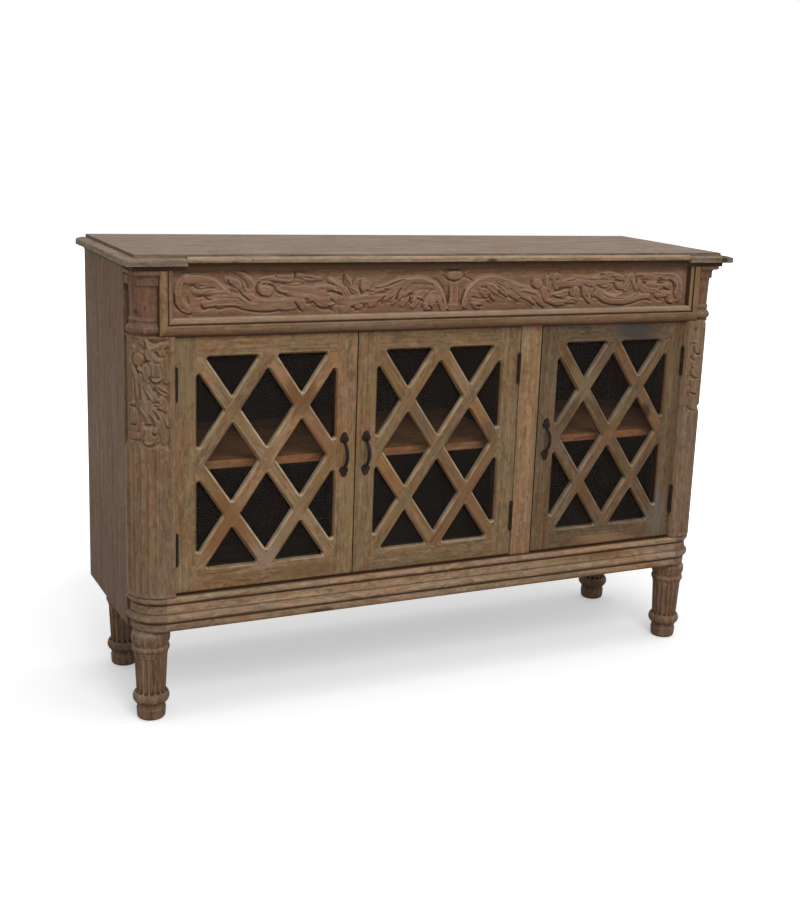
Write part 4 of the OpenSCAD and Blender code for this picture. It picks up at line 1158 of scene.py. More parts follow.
ROSETTE_RIDGES = (
    (2.4, (56, 764, 2.5), (52, 758, 2.6), (50, 750, 2.4), (46, 744, 3.4), (40, 746, 2.8), (34, 749, 3.2),
     (29, 748, 2)),
    (1.3, (29, 753, 1.8), (20, 755, 2), (12, 756, 1.8)),
    (1.2, (56, 734, 3), (52, 727, 2)),
    (1.2, (42, 731, 2.2), (36, 724, 2.4), (24, 722, 1.8)),
    (1.6, (68, 739, 2), (60, 735, 2.6), (57, 730, 2)),
    (1.6, (84, 736, 2), (90, 727, 2.6), (89, 718, 2)),
    (3, (71, 707, 2), (66, 704, 3.4), (62, 701, 2.4)),
    (1.8, (84, 706, 2), (79, 698, 2.4), (76, 690, 2.6), (74, 684, 2)),
    (1.5, (75, 680, 1.8), (74, 668, 2), (74, 654, 1.8)),
    (1.4, (62, 676, 2), (61, 662, 2.2), (58, 648, 2)),
    (3, (44, 685, 2.4), (38, 684, 4), (31, 685, 3.4), (26, 688, 2)),
    (2, (52, 664, 2), (47, 658, 2.8), (42, 651, 2)),
    (2, (70, 635, 2), (63, 628, 2.6), (56, 621, 3.4), (53, 617, 2)),
    (1.6, (40, 634, 1.8), (30, 633, 2.2), (22, 636, 1.6)),
    (1.6, (46, 623, 1.8), (38, 613, 2), (31, 605, 1.8)),
    (1.4, (40, 606, 1.6), (34, 598, 1.8)),
    (1.8, (26, 627, 2), (20, 616, 2.4), (14, 604, 2.2)),
    (1.4, (20, 598, 1.6), (15, 584, 1.8), (14, 570, 1.6)),
    (1.4, (100, 636, 2), (88, 640, 2.4), (80, 642, 1.6)),
    (2, (59, 594, 2), (55, 593, 3.2), (47, 596, 2)),
    (1.5, (38, 577, 1.8), (32, 581, 2)),
    (2.6, (59, 567, 2), (52, 566, 3.6), (44, 567, 2.6)),
    (1.2, (96, 566, 1.8), (86, 567, 2), (76, 565, 1.4)),
)
ROSETTE_GROOVES = (
    (4, (58, 756, 1.6), (56, 750, 2), (56, 742, 1.4)),
    (3, (46, 757, 2), (38, 754, 3), (30, 756, 2)),
    (3, (28, 748, 1.6), (28.5, 741, 1.6)),
    (3, (13, 748, 1.5), (13, 742, 1.5)),
    (3, (14, 738, 1.4), (15, 733, 1.4)),
    (3, (40, 738, 1.2), (33, 731, 1.8), (26, 728, 1.8), (16, 729, 1.2)),
    (4, (82, 733, 1.6), (86, 724, 2), (83, 714, 1.8), (78, 707, 2.4), (74, 700, 2), (71, 694, 1.6)),
    (3, (60, 733, 1.4), (57, 724, 1.6), (58, 716, 1.6)),
    (5, (58, 716, 2), (53, 719.5, 2.4), (47, 720.5, 2)),
    (3, (40, 719, 1.8), (34, 717, 2.4), (29, 717, 1.4)),
    (3, (44, 710, 1.4), (44, 700, 1.6), (45, 692, 1.4)),
    (3, (28, 712, 1.2), (24, 704, 1.6), (22, 694, 1.2)),
    (5, (48, 691, 2), (47, 685, 2.8), (42, 680, 2.4), (36, 677.5, 2), (28, 679, 1.4)),
    (3.6, (44, 691, 1.4), (36, 689.5, 1.6), (28, 691, 1.2)),
    (4, (38, 676, 1.4), (37.5, 668, 2), (35, 664, 1.4)),
    (3.6, (30, 668, 1.3), (22, 663, 2), (13, 659, 1.6)),
    (3.4, (69, 678, 1.4), (67, 662, 2.2), (67, 648, 1.6)),
    (3, (79, 676, 1.2), (79, 655, 1.6), (76, 640, 1.4)),
    (4, (41, 643, 1.4), (36, 643, 2), (30, 643, 1.2)),
    (3.6, (39, 636.5, 1.2), (30, 635.5, 1.6)),
    (4, (34, 631, 1.2), (29, 628.5, 2), (24, 627, 1.2)),
    (4, (42, 627, 1.4), (36, 620, 2), (31, 611, 2)),
    (3, (50, 618, 1.6), (44, 608, 2), (38, 597, 2)),
    (3.4, (17, 626, 1.6), (18, 620, 2)),
    (4, (92, 634, 2), (86, 633, 2.8), (80, 632, 1.6)),
    (2.6, (79, 628, 1.2), (77, 612, 1.4), (76, 598, 1.2)),
    (4, (91, 598, 1.6), (85, 597, 2.8), (78, 599, 1.6)),
    (4.4, (58, 601, 1.6), (50, 600.5, 2.2), (43, 600, 1.6)),
    (4.4, (43, 586, 1.6), (40, 580, 2.4), (35, 583, 2)),
    (3, (59, 588, 1.3), (60, 578, 1.4)),
    (4, (61, 571, 1.4), (59, 563, 1.8)),
    (5, (60, 561, 1.6), (52, 558.5, 2.6), (42, 559, 2.2), (35, 563, 1.6), (28, 567, 1.2)),
    (2.4, (100, 569, 1.4), (84, 569.5, 1.4), (70, 567, 1.2)),
)
# The right post: three leaves that hang one over another between small side leaves.
PLUME_BODIES = (
    (4.5, 2, (34, 606, 15), (32, 584, 14), (32, 568, 11)),
    (5, 3, (36, 656, 14), (34, 630, 16), (34, 612, 13), (34, 604, 8)),
    (5, 3, (38, 700, 14), (36, 676, 17), (35, 656, 15), (34, 645, 9)),
    (5.5, 3, (38, 752, 11), (38, 728, 17), (38, 708, 17), (38, 698, 11)),
    (4.5, 2, (10, 752, 7), (24, 757, 8), (44, 757, 8), (66, 750, 8)),
    (4.5, 1, (12, 744, 6), (11, 728, 7), (12, 716, 5)),
    (4.5, 1, (10, 708, 6), (10, 694, 7), (14, 684, 5)),
    (4.5, 1, (11, 676, 6), (12, 660, 7), (13, 646, 5)),
    (4.5, 1, (10, 636, 6), (10, 616, 7), (12, 600, 5)),
    (4.5, 1, (10, 592, 6), (10, 576, 7), (14, 566, 5)),
    (4.5, 2, (74, 740, 12), (76, 700, 14), (76, 650, 14), (76, 600, 12), (76, 572, 8)),
)
PLUME_RIDGES = (
    (2, (12, 719, 2), (24, 718, 2.6), (30, 716, 1.8)),
    (2.2, (26, 684, 2), (36, 684, 2.8), (50, 683, 2)),
    (1.4, (10, 677, 2), (16, 674, 2.4)),
    (2.2, (30, 638, 2), (38, 637, 2.8), (46, 637, 2)),
    (1.8, (10, 633, 2), (20, 630, 2.4), (26, 628, 1.8)),
    (1.6, (12, 618, 2), (14, 608, 2)),
    (1.6, (34, 622, 1.8), (34, 608, 2)),
    (1.6, (34, 740, 2), (35, 716, 2.4), (36, 702, 2)),
    (1.4, (28, 736, 1.6), (27, 712, 1.8)),
)
PLUME_GROOVES = (
    (4, (7, 743, 1.6), (9, 734, 2.2), (11, 725, 1.6)),
    (4, (5, 713, 1.6), (6, 704, 2), (8, 697, 1.6)),
    (3.4, (12, 714, 1.4), (24, 713, 1.6)),
    (5, (22, 706, 1.6), (24, 694, 2.2), (30, 688.5, 2.4), (40, 687, 2.4), (50, 689, 3), (57, 684, 2)),
    (5, (12, 684, 1.8), (18, 680, 2.6), (26, 674, 1.8)),
    (3.4, (14, 667, 1.6), (19, 662, 1.8), (23, 656, 1.8)),
    (5, (16, 654, 1.8), (18, 642, 2.6), (25, 636, 2.4), (36, 633, 2.2), (46, 636, 2)),
    (3.4, (8, 648, 1.4), (15, 649, 1.6)),
    (3.6, (10, 621, 1.8), (16, 618, 2)),
    (4, (13, 606, 2), (15, 598, 1.8), (13, 586, 1.6)),
    (4.4, (20, 601, 1.8), (30, 597, 2.2), (44, 597, 2)),
    (5, (13, 572, 1.8), (18, 565, 2.4), (32, 559, 2.4), (50, 557, 2)),
    (2.6, (3, 622, 1.6), (3, 600, 1.6)),
)


# How many rows up a place is compared with what stands over it, for painted shade beneath edges and painted highlights
# on rims.
LIGHT_ROWS = 3


@dataclass(frozen=True)
class Carving:
    """What a relief does at each point of its chart."""

    surface: np.ndarray
    cuts: np.ndarray
    pale: np.ndarray
    creases: np.ndarray

    def masks(self, shape: tuple[int, int], zone: np.ndarray | float = 1.0) -> tuple[np.ndarray, np.ndarray]:
        """Returns where shade is painted, and where ridges are rubbed pale and rims and raised parts get a painted
        highlight.

        Args:
            shape: rows and columns of the chart, whose rows go up.
            zone: where the carving counts.

        Returns:
            Two flat arrays from 0 to 1.
        """
        surface = self.surface.reshape(shape)
        above = np.vstack([surface[LIGHT_ROWS:], np.repeat(surface[-1:], LIGHT_ROWS, axis=0)])
        # Painted shade beneath edges that stand over a place, in cuts and in creases.
        under = np.clip((above - surface - 1.1) * 0.24, 0, 0.42)
        cuts = self.cuts.reshape(shape) * 0.72
        dirt = np.maximum(np.maximum(under, cuts), self.creases.reshape(shape) * 0.3) * zone
        # Painted highlight on rims that face up and on raised parts, with the ridges rubbed pale.
        rim = np.clip((surface - above - 0.7) * 0.3, 0, 0.8)
        lifted = np.clip(surface / 8, 0, 1) * 0.3
        pale = np.maximum(np.maximum(self.pale.reshape(shape), rim), lifted) * (1 - cuts) * zone
        return dirt.ravel(), pale.ravel()


@dataclass
class Relief:
    """Heights of a carved surface over a flat chart, in millimetres."""

    strokes: tuple[Stroke, ...]
    fold_depth: float = 1.0
    overlap: float = 0.9

    def carve(self, across: np.ndarray, up: np.ndarray) -> Carving:
        """Carves the strokes in order.

        Args:
            across: place of each point along the chart.
            up: height of each point.

        Returns:
            The carving.
        """
        surface, cuts, pale, creases = (np.zeros_like(across) for _ in range(4))
        for stroke in self.strokes:
            window, level, side = self._trace(stroke, across, up)
            here = surface[window]
            if stroke.kind is Cut.BODY:
                rise = np.clip(level * 2.6, 0, 1)
                top = stroke.depth * (0.8 * rise * rise * (3 - 2 * rise) + 0.2 * level)
                wave = (0.5 - 0.5 * np.cos(2 * math.pi * (stroke.folds * side + 0.5))) * np.clip(level * 3, 0, 1)
                if stroke.folds:
                    top = top - self.fold_depth * wave
                edge = np.clip(1 - level * 4, 0, 1) * (level > 0)
                won = (level > 0) & (top >= here - self.overlap * edge)
                surface[window] = np.where(level > 0, np.maximum(top, here - self.overlap * edge), here)
                if stroke.folds:
                    creases[window] = np.where(won, wave ** 3, creases[window])
            elif stroke.kind is Cut.RIDGE:
                surface[window] = here + stroke.depth * level ** 0.7
                # Ridges are rubbed pale, partly a painted highlight.
                pale[window] = np.maximum(pale[window], level ** 0.8 * min(1.0, stroke.depth / 2.0))
                creases[window] = creases[window] * (1 - level)
            else:
                surface[window] = here - stroke.depth * level ** 0.7
                cuts[window] = np.maximum(cuts[window], level ** 0.5 * min(1.0, stroke.depth / 4.0))
        return Carving(surface, cuts, pale, creases)

    def _trace(self, stroke: Stroke, across: np.ndarray, up: np.ndarray) -> tuple[np.ndarray, np.ndarray, np.ndarray]:
        """Measures the points near a stroke.

        Args:
            stroke: the stroke.
            across: place of each point along the chart.
            up: height of each point.

        Returns:
            Which points are near, how far inside the stroke they lie (0 at its edge, 1 on its line), and on
            which side of the line, from -1 to 1.
        """
        points = self._smoothed(stroke.points)
        reach = points[:, 2].max()
        low, high = points[:, :2].min(0) - reach, points[:, :2].max(0) + reach
        window = (across > low[0]) & (across < high[0]) & (up > low[1]) & (up < high[1])
        x, z = across[window], up[window]
        nearest = np.full_like(x, 1.0)
        side = np.zeros_like(x)
        for (ax, az, ar), (bx, bz, br) in zip(points[:-1], points[1:]):
            dx, dz = bx - ax, bz - az
            t = np.clip(((x - ax) * dx + (z - az) * dz) / (dx * dx + dz * dz + 1e-9), 0, 1)
            radius = ar + (br - ar) * t
            ox, oz = x - ax - t * dx, z - az - t * dz
            ratio = np.sqrt(ox * ox + oz * oz) / radius
            closer = ratio < nearest
            nearest = np.where(closer, ratio, nearest)
            side = np.where(closer, np.sign(dx * oz - dz * ox) * ratio, side)
        return window, 1 - nearest ** 2, side

    @staticmethod
    def _smoothed(points: tuple) -> np.ndarray:
        """Rounds a path's corners by cutting each twice.

        Args:
            points: the path.

        Returns:
            The finer path.
        """
        path = np.array(points, dtype=float)
        for _ in range(2):
            if len(path) < 3:
                break
            first = path[:-1] * 0.75 + path[1:] * 0.25
            second = path[:-1] * 0.25 + path[1:] * 0.75
            middle = np.stack([first, second], axis=1).reshape(-1, 3)
            path = np.vstack([path[:1], middle, path[-1:]])
        return path


def blurred(grid: np.ndarray, radius: int) -> np.ndarray:
    """Averages a grid of values over squares.

    Args:
        grid: rows of values.
        radius: cells on each side.

    Returns:
        The averages.
    """
    result = grid
    for axis in (0, 1):
        padded = np.pad(result, [(radius + 1, radius) if a == axis else (0, 0) for a in (0, 1)], mode="edge")
        total = np.cumsum(padded, axis=axis)
        width = 2 * radius + 1
        upper = np.take(total, range(width, total.shape[axis]), axis=axis)
        lower = np.take(total, range(0, total.shape[axis] - width), axis=axis)
        result = (upper - lower) / width
    return result


def write_relief(piece: bpy.types.Object, *channels: np.ndarray) -> None:
    """Stores a carved surface's looks as the colour attribute relief.

    Args:
        piece: the carved piece.
        channels: where it has painted shade, where it is rubbed pale with painted highlights, and where it is stained,
            from 0 to 1.
    """
    layer = piece.data.color_attributes.new("relief", "FLOAT_COLOR", "POINT")
    values = np.zeros((len(piece.data.vertices), 4), dtype=np.float32)
    for index, channel in enumerate(channels):
        values[: len(channel), index] = channel
    values[:, 3] = 1
    layer.data.foreach_set("color", values.ravel())


@dataclass
class Frieze:
    """The carved panel above the doors, in two halves."""

    left_edge: float = -0.5830
    right_edge: float = 0.5744
    low: float = 0.7645
    high: float = 0.885
    ground: float = -0.1735
    back: float = -0.1495
    pitch: float = 0.00105
    frame_rail: float = 0.0335
    cartouche_at: float = 574.5
    origin: float = -0.5792
    deepest: float = -1.7

    def cartouche(self) -> tuple[Stroke, ...]:
        """Draws the cabochon on its stem between the halves.

        Returns:
            Its strokes.
        """
        m = self.cartouche_at
        stem = body(5.5, 3, (m, 858, 14), (m, 840, 12), (m, 824, 12), (m, 810, 14))
        cuts = [stem, body(5.5, 0, (m - 7, 804, 7), (m + 7, 804, 7)), body(8, 0, (m - 9, 871, 10), (m + 9, 871, 10))]
        for way in (-1, 1):
            x = lambda out: m + way * out
            cuts += (
                ridge(1.6, (x(32), 880, 2), (x(26), 874, 2.6), (x(19), 866, 2)),
                ridge(1.4, (x(7), 846, 1.8), (x(7), 818, 1.8)),
                groove(4.5, (x(25), 872, 2.4), (x(18), 864, 1.8), (x(11), 861, 2.2), (m, 858.5, 2.4)),
                groove(4, (x(12), 846, 1.6), (x(11), 832, 1.8), (x(12), 814, 1.6)),
            )
        cuts.append(ridge(1.6, (m - 12, 878, 2), (m, 879, 2.6), (m + 12, 878, 2)))
        cuts.append(ridge(1.4, (m - 12, 811, 1.6), (m + 12, 811, 1.6)))
        return tuple(cuts)

    def build(self) -> None:
        """Builds the two halves and hides the plain panel."""
        left = strokes(LEFT_BODIES, LEFT_RIDGES, LEFT_GROOVES)
        right = strokes(RIGHT_BODIES, RIGHT_RIDGES, RIGHT_GROOVES)
        relief = Relief(left + right + self.cartouche())
        looks = {"dust": 0.25, "cavity": 0.2, "wear": 0, "calm": 0.6, "mottle": 0.4, "under": 0.2, "relief": True}
        finish = LimedWood("carved_frieze", FRIEZE_TONE, Grain.X, seed=2.3, **looks).material()
        middle = (self.left_edge + self.right_edge) / 2
        halves = (("frieze_carving_left", self.left_edge, middle), ("frieze_carving_right", middle, self.right_edge))
        pieces = [self._half(name, start, end, relief, finish) for name, start, end in halves]
        for piece in pieces:
            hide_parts("frieze_panel")

    def _half(
        self, name: str, start: float, end: float, relief: Relief, finish: bpy.types.Material
    ) -> bpy.types.Object:
        """Builds one half as a closed block with a carved face.

        Args:
            name: the piece's name.
            start: where it begins along X.
            end: where it ends.
            relief: the carving of the whole frieze.
            finish: its material.

        Returns:
            The piece.
        """
        low, high = self.low + self.frame_rail, self.high
        columns = round((end - start) / self.pitch)
        rows = round((high - low) / self.pitch)
        shape = bmesh.new()
        bmesh.ops.create_grid(shape, x_segments=columns, y_segments=rows, size=0.5)
        shape.verts.ensure_lookup_table()
        co = np.array([v.co for v in shape.verts])
        x = start + (co[:, 0] + 0.5) * (end - start)
        z = low + (co[:, 1] + 0.5) * (high - low)
        carving = relief.carve((x - self.origin) / MM, z / MM)
        grid = blurred(np.maximum(carving.surface, self.deepest).reshape(rows + 1, columns + 1), 1)
        chisel_marks = 0.15 * np.sin(x * 900 + 3 * np.sin(z * 700)) * np.sin(z * 800 + 2 * np.sin(x * 500))
        height = grid.ravel() + chisel_marks
        # Painted shade, and the pale of rubbed ridges with painted highlights.
        dirt, pale = carving.masks(grid.shape)
        for vert, px, pz, h in zip(shape.verts, x, z, height):
            vert.co = (px, self.ground - h * MM, pz)
        rim = [e for e in shape.edges if e.is_boundary]
        back = bmesh.ops.extrude_edge_only(shape, edges=rim)["geom"]
        for vert in (v for v in back if isinstance(v, bmesh.types.BMVert)):
            vert.co.y = self.back
        bmesh.ops.holes_fill(shape, edges=[e for e in shape.edges if e.is_boundary])
        piece = publish(name, shape, finish, "carcass")
        write_relief(piece, dirt, pale)
        return piece


@dataclass
class CornerPost:
    """A corner post: carved leaves above, flutes below, rounded at its outer corner.

    The sizes of the carved zone and the flutes are in millimetres, as the tables of strokes are.
    """

    side: Side
    inner: float = 0.580
    outer: float = 0.657
    front: float = -0.1895
    back: float = -0.1185
    radius: float = 0.058
    low: float = 0.261
    high: float = 0.7645
    pitch: float = 0.00115
    carved_low: float = 549
    carved_high: float = 762
    margin: float = 9
    sink: float = 4.8
    deepest: float = -1.2
    flutes: int = 6
    flute_high: float = 554
    flute_half: float = 5.2
    flute_depth: float = 3.2

    @property
    def name(self) -> str:
        """The CAD node this post takes the place of."""
        return f"corner_post_{self.side.name.lower()}"

    def leaves(self) -> tuple[Stroke, ...]:
        """Chooses the carving of this post.

        Returns:
            Its strokes.
        """
        back = (body(4, 2, (98, 752, 10), (96, 700, 12), (94, 650, 12), (94, 600, 12), (92, 566, 8)),)
        if self.side is Side.LEFT:
            return back + strokes(ROSETTE_BODIES, ROSETTE_RIDGES, ROSETTE_GROOVES)
        return back + strokes(PLUME_BODIES, PLUME_RIDGES, PLUME_GROOVES)

    def _ring(self) -> tuple[np.ndarray, np.ndarray]:
        """Traces the face from the inner edge round to the back.

        Returns:
            Rows of (x, y, place), and their outward normals.
        """
        flat = self.outer - self.radius - self.inner
        arc = self.radius * math.pi / 2
        tail = self.back - (self.front + self.radius)
        length = flat + arc + tail
        s = np.linspace(0, length, round(length / self.pitch) + 1)
        turn = np.clip((s - flat) / self.radius, 0, math.pi / 2)
        x = np.where(s < flat, self.inner + s, self.outer - self.radius + self.radius * np.sin(turn))
        y = self.front + self.radius - self.radius * np.cos(turn) + np.maximum(s - flat - arc, 0)
        return np.stack([x, y, s], 1), np.stack([np.sin(turn), -np.cos(turn)], 1)

    def _flutes(self, s: np.ndarray, z: np.ndarray) -> np.ndarray:
        """Cuts the flutes, in millimetres.

        Args:
            s: place of each point along the face.
            z: its height.

        Returns:
            How deep each point is cut.
        """
        flat = (self.outer - self.radius - self.inner) / MM
        arc = self.radius / MM * math.pi / 2
        cell = arc / self.flutes
        place = (s - flat) / cell
        across = (place - np.floor(place) - 0.5) * cell
        end_low = self.low / MM + 4
        beyond = np.maximum(np.maximum(end_low + 5 - z, z - self.flute_high + 5), 0)
        reach = np.sqrt(across ** 2 + beyond ** 2)
        cut = np.sqrt(np.clip(1 - (reach / self.flute_half) ** 2, 0, 1)) * self.flute_depth
        return np.where((place > 0) & (place < self.flutes), cut, 0)

    def build(self) -> None:
        """Builds the post as a closed shape and hides the plain one."""
        ring, normal = self._ring()
        rows = round((self.high - self.low) / self.pitch)
        columns = len(ring) - 1
        shape = bmesh.new()
        bmesh.ops.create_grid(shape, x_segments=columns, y_segments=rows, size=0.5)
        shape.verts.ensure_lookup_table()
        s, z = np.meshgrid(ring[:, 2] / MM, np.linspace(self.low, self.high, rows + 1) / MM)
        carving = Relief(self.leaves()).carve(s, z)
        tall = np.clip((z - self.carved_low) / 14, 0, 1) * np.clip((self.carved_high - z) / 3, 0, 1)
        zone = tall * np.clip((s - self.margin) / 3, 0, 1)
        sunk = np.minimum(zone * (np.maximum(carving.surface, self.deepest) - self.sink), 0) - self._flutes(s, z)
        sunk = blurred(sunk, 1) + 0.12 * np.sin(z * 0.35 + s) * np.sin(s * 0.9)
        # Painted shade, and the pale of rubbed ridges with painted highlights.
        dirt, rubbed = carving.masks(s.shape, zone)
        rust = self._spot(s, z, (72, 723, 13, 14)) + 0.8 * self._spot(s, z, (84, 577, 20, 10))
        index = 0
        for row in range(rows + 1):
            for column in range(columns + 1):
                px, py = ring[column, :2] + normal[column] * min(sunk[row, column], 0.0) * MM
                shape.verts[index].co = (px * self.side.value, py, z[row, column] * MM)
                index += 1
        self._close(shape)
        looks = {"dust": 0.12, "cavity": 0.25, "wear": 0, "calm": 0.3, "under": 0.2, "relief": True}
        seed = 4.1 + self.side.value
        finish = LimedWood(f"post_{self.side.name.lower()}", POST_TONE, Grain.Z, seed, **looks)
        piece = publish(f"{self.name}_carved", shape, finish.material(), "carcass")
        write_relief(piece, dirt, rubbed, np.clip(rust, 0, 1).ravel())
        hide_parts(self.name)

    @staticmethod
    def _spot(s: np.ndarray, z: np.ndarray, spot: tuple[float, float, float, float]) -> np.ndarray:
        """Returns how much of a spot, given as (place, height, width, height of it), lies on each point."""
        at, up, wide, tall = spot
        return np.clip(1.4 - ((s - at) / wide) ** 2 - ((z - up) / tall) ** 2, 0, 1)

    def _close(self, shape: Shape) -> None:
        """Adds the hidden faces behind the carved one.

        Args:
            shape: the mesh.
        """
        rim = [e for e in shape.edges if e.is_boundary]
        fresh = bmesh.ops.extrude_edge_only(shape, edges=rim)["geom"]
        for vert in (v for v in fresh if isinstance(v, bmesh.types.BMVert)):
            vert.co.x = self.side.value * min(abs(vert.co.x), self.inner + 0.02)
            vert.co.y = max(vert.co.y, self.back - 0.01)
        bmesh.ops.holes_fill(shape, edges=[e for e in shape.edges if e.is_boundary])


def lip_grime(low: float) -> tuple[Grime, ...]:
    """Returns the band of painted shade at the lower edge of the top's lip."""
    return (Grime(Z, low + 0.0012, low + 0.0002),)


@dataclass
class TopLip:
    """The moulded front edge of the top: a soft bead in the middle, a step at both ends."""

    field_half: float = 0.653
    field_front: float = -0.186
    break_at: float = 0.560
    soffit_out: float = 0.004
    carcass_top: float = 0.885
    low: float = 0.8945
    high: float = 0.904
    middle_low: float = 0.9000
    batten: float = 0.040
    station: float = 0.02

    def _outline(self, middle: bool) -> list[tuple[float, float]]:
        """Draws the lip's profile.

        Args:
            middle: whether it has the bead.

        Returns:
            Points of (distance out from the field, height).
        """
        if middle:
            face = [(0.0155, self.middle_low), (0.0166, self.middle_low + 0.0008), (0.0170, self.middle_low + 0.0024)]
            face += [(0.0170, 0.9052), (0.0166, 0.9074), (0.0156, 0.9092), (0.0136, 0.9106), (0.0110, 0.9114)]
            face += [(0.0080, 0.9116), (0.0055, 0.9110), (0.0030, 0.9108)]
            low = self.middle_low
        else:
            face = [(0.0185, self.low), (0.0197, self.low + 0.0006), (0.0200, self.low + 0.0022)]
            face.append((0.0200, self.high - 0.0012))
            for step in range(1, 7):
                turn = math.radians(15 * step)
                face.append((0.004 + 0.016 * math.cos(turn), self.high + 0.005 * math.sin(turn)))
            low = self.low
        below = [(-self.batten, self.carcass_top), (self.soffit_out, self.carcass_top), (self.soffit_out, low)]
        return below + face + [(0.0, self.high + 0.005), (-self.batten, self.high + 0.005)]

    def build(self) -> None:
        """Builds the three lengths and hides the plain one."""
        # Strong painted shade on what looks down, and a band of it at the lip's lower edge.
        looks = {"under": 0.9, "marks": LIP_MARKS}
        edge = LimedWood("lip_ends", LIP_TONE.dimmed(0.9), Grain.X, 1.4, dust=0.25, grime=lip_grime(self.low), **looks)
        plain = edge.material()
        round_edge = LimedWood(
            "lip_bead", BEAD_TONE.dimmed(0.95), Grain.X, 1.9, knots=0.1, grime=lip_grime(self.middle_low), **looks
        )
        bead = round_edge.material()
        ends, inner = self.field_half, self.break_at
        lengths = (
            ("left", -ends, -inner, False, plain),
            ("middle", -inner, inner, True, bead),
            ("right", inner, ends, False, plain),
        )
        for name, start, end, middle, finish in lengths:
            piece = self._length(f"top_lip_{name}", start, end, middle, finish)
            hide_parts("top_edge_front")

    def _length(
        self, name: str, start: float, end: float, middle: bool, finish: bpy.types.Material
    ) -> bpy.types.Object:
        """Builds one length; its outer end is mitred.

        Args:
            name: the piece's name.
            start: where it begins along X.
            end: where it ends.
            middle: whether it has the bead.
            finish: its material.

        Returns:
            The piece.
        """
        shape = bmesh.new()
        stations = np.linspace(start, end, max(2, round((end - start) / self.station)))
        rings = []
        for x in stations:
            ring = []
            for out, z in self._outline(middle):
                mitred = x + out * math.copysign(1, x) if abs(x) >= self.field_half - 1e-6 else x
                wave = 0.0004 * math.sin(31 * x + 90 * z) + 0.0003 * math.sin(83 * x)
                y = self.field_front - out + (0.0007 - wave if out > 0.001 else 0.0)
                ring.append(shape.verts.new((mitred, y, z)))
            rings.append(ring)
        for first, second in zip(rings[:-1], rings[1:]):
            for i in range(len(first)):
                j = (i + 1) % len(first)
                shape.faces.new((first[i], first[j], second[j], second[i]))
        shape.faces.new(rings[0])
        shape.faces.new(rings[-1])
        return publish(name, shape, finish, "carcass", smooth=False)


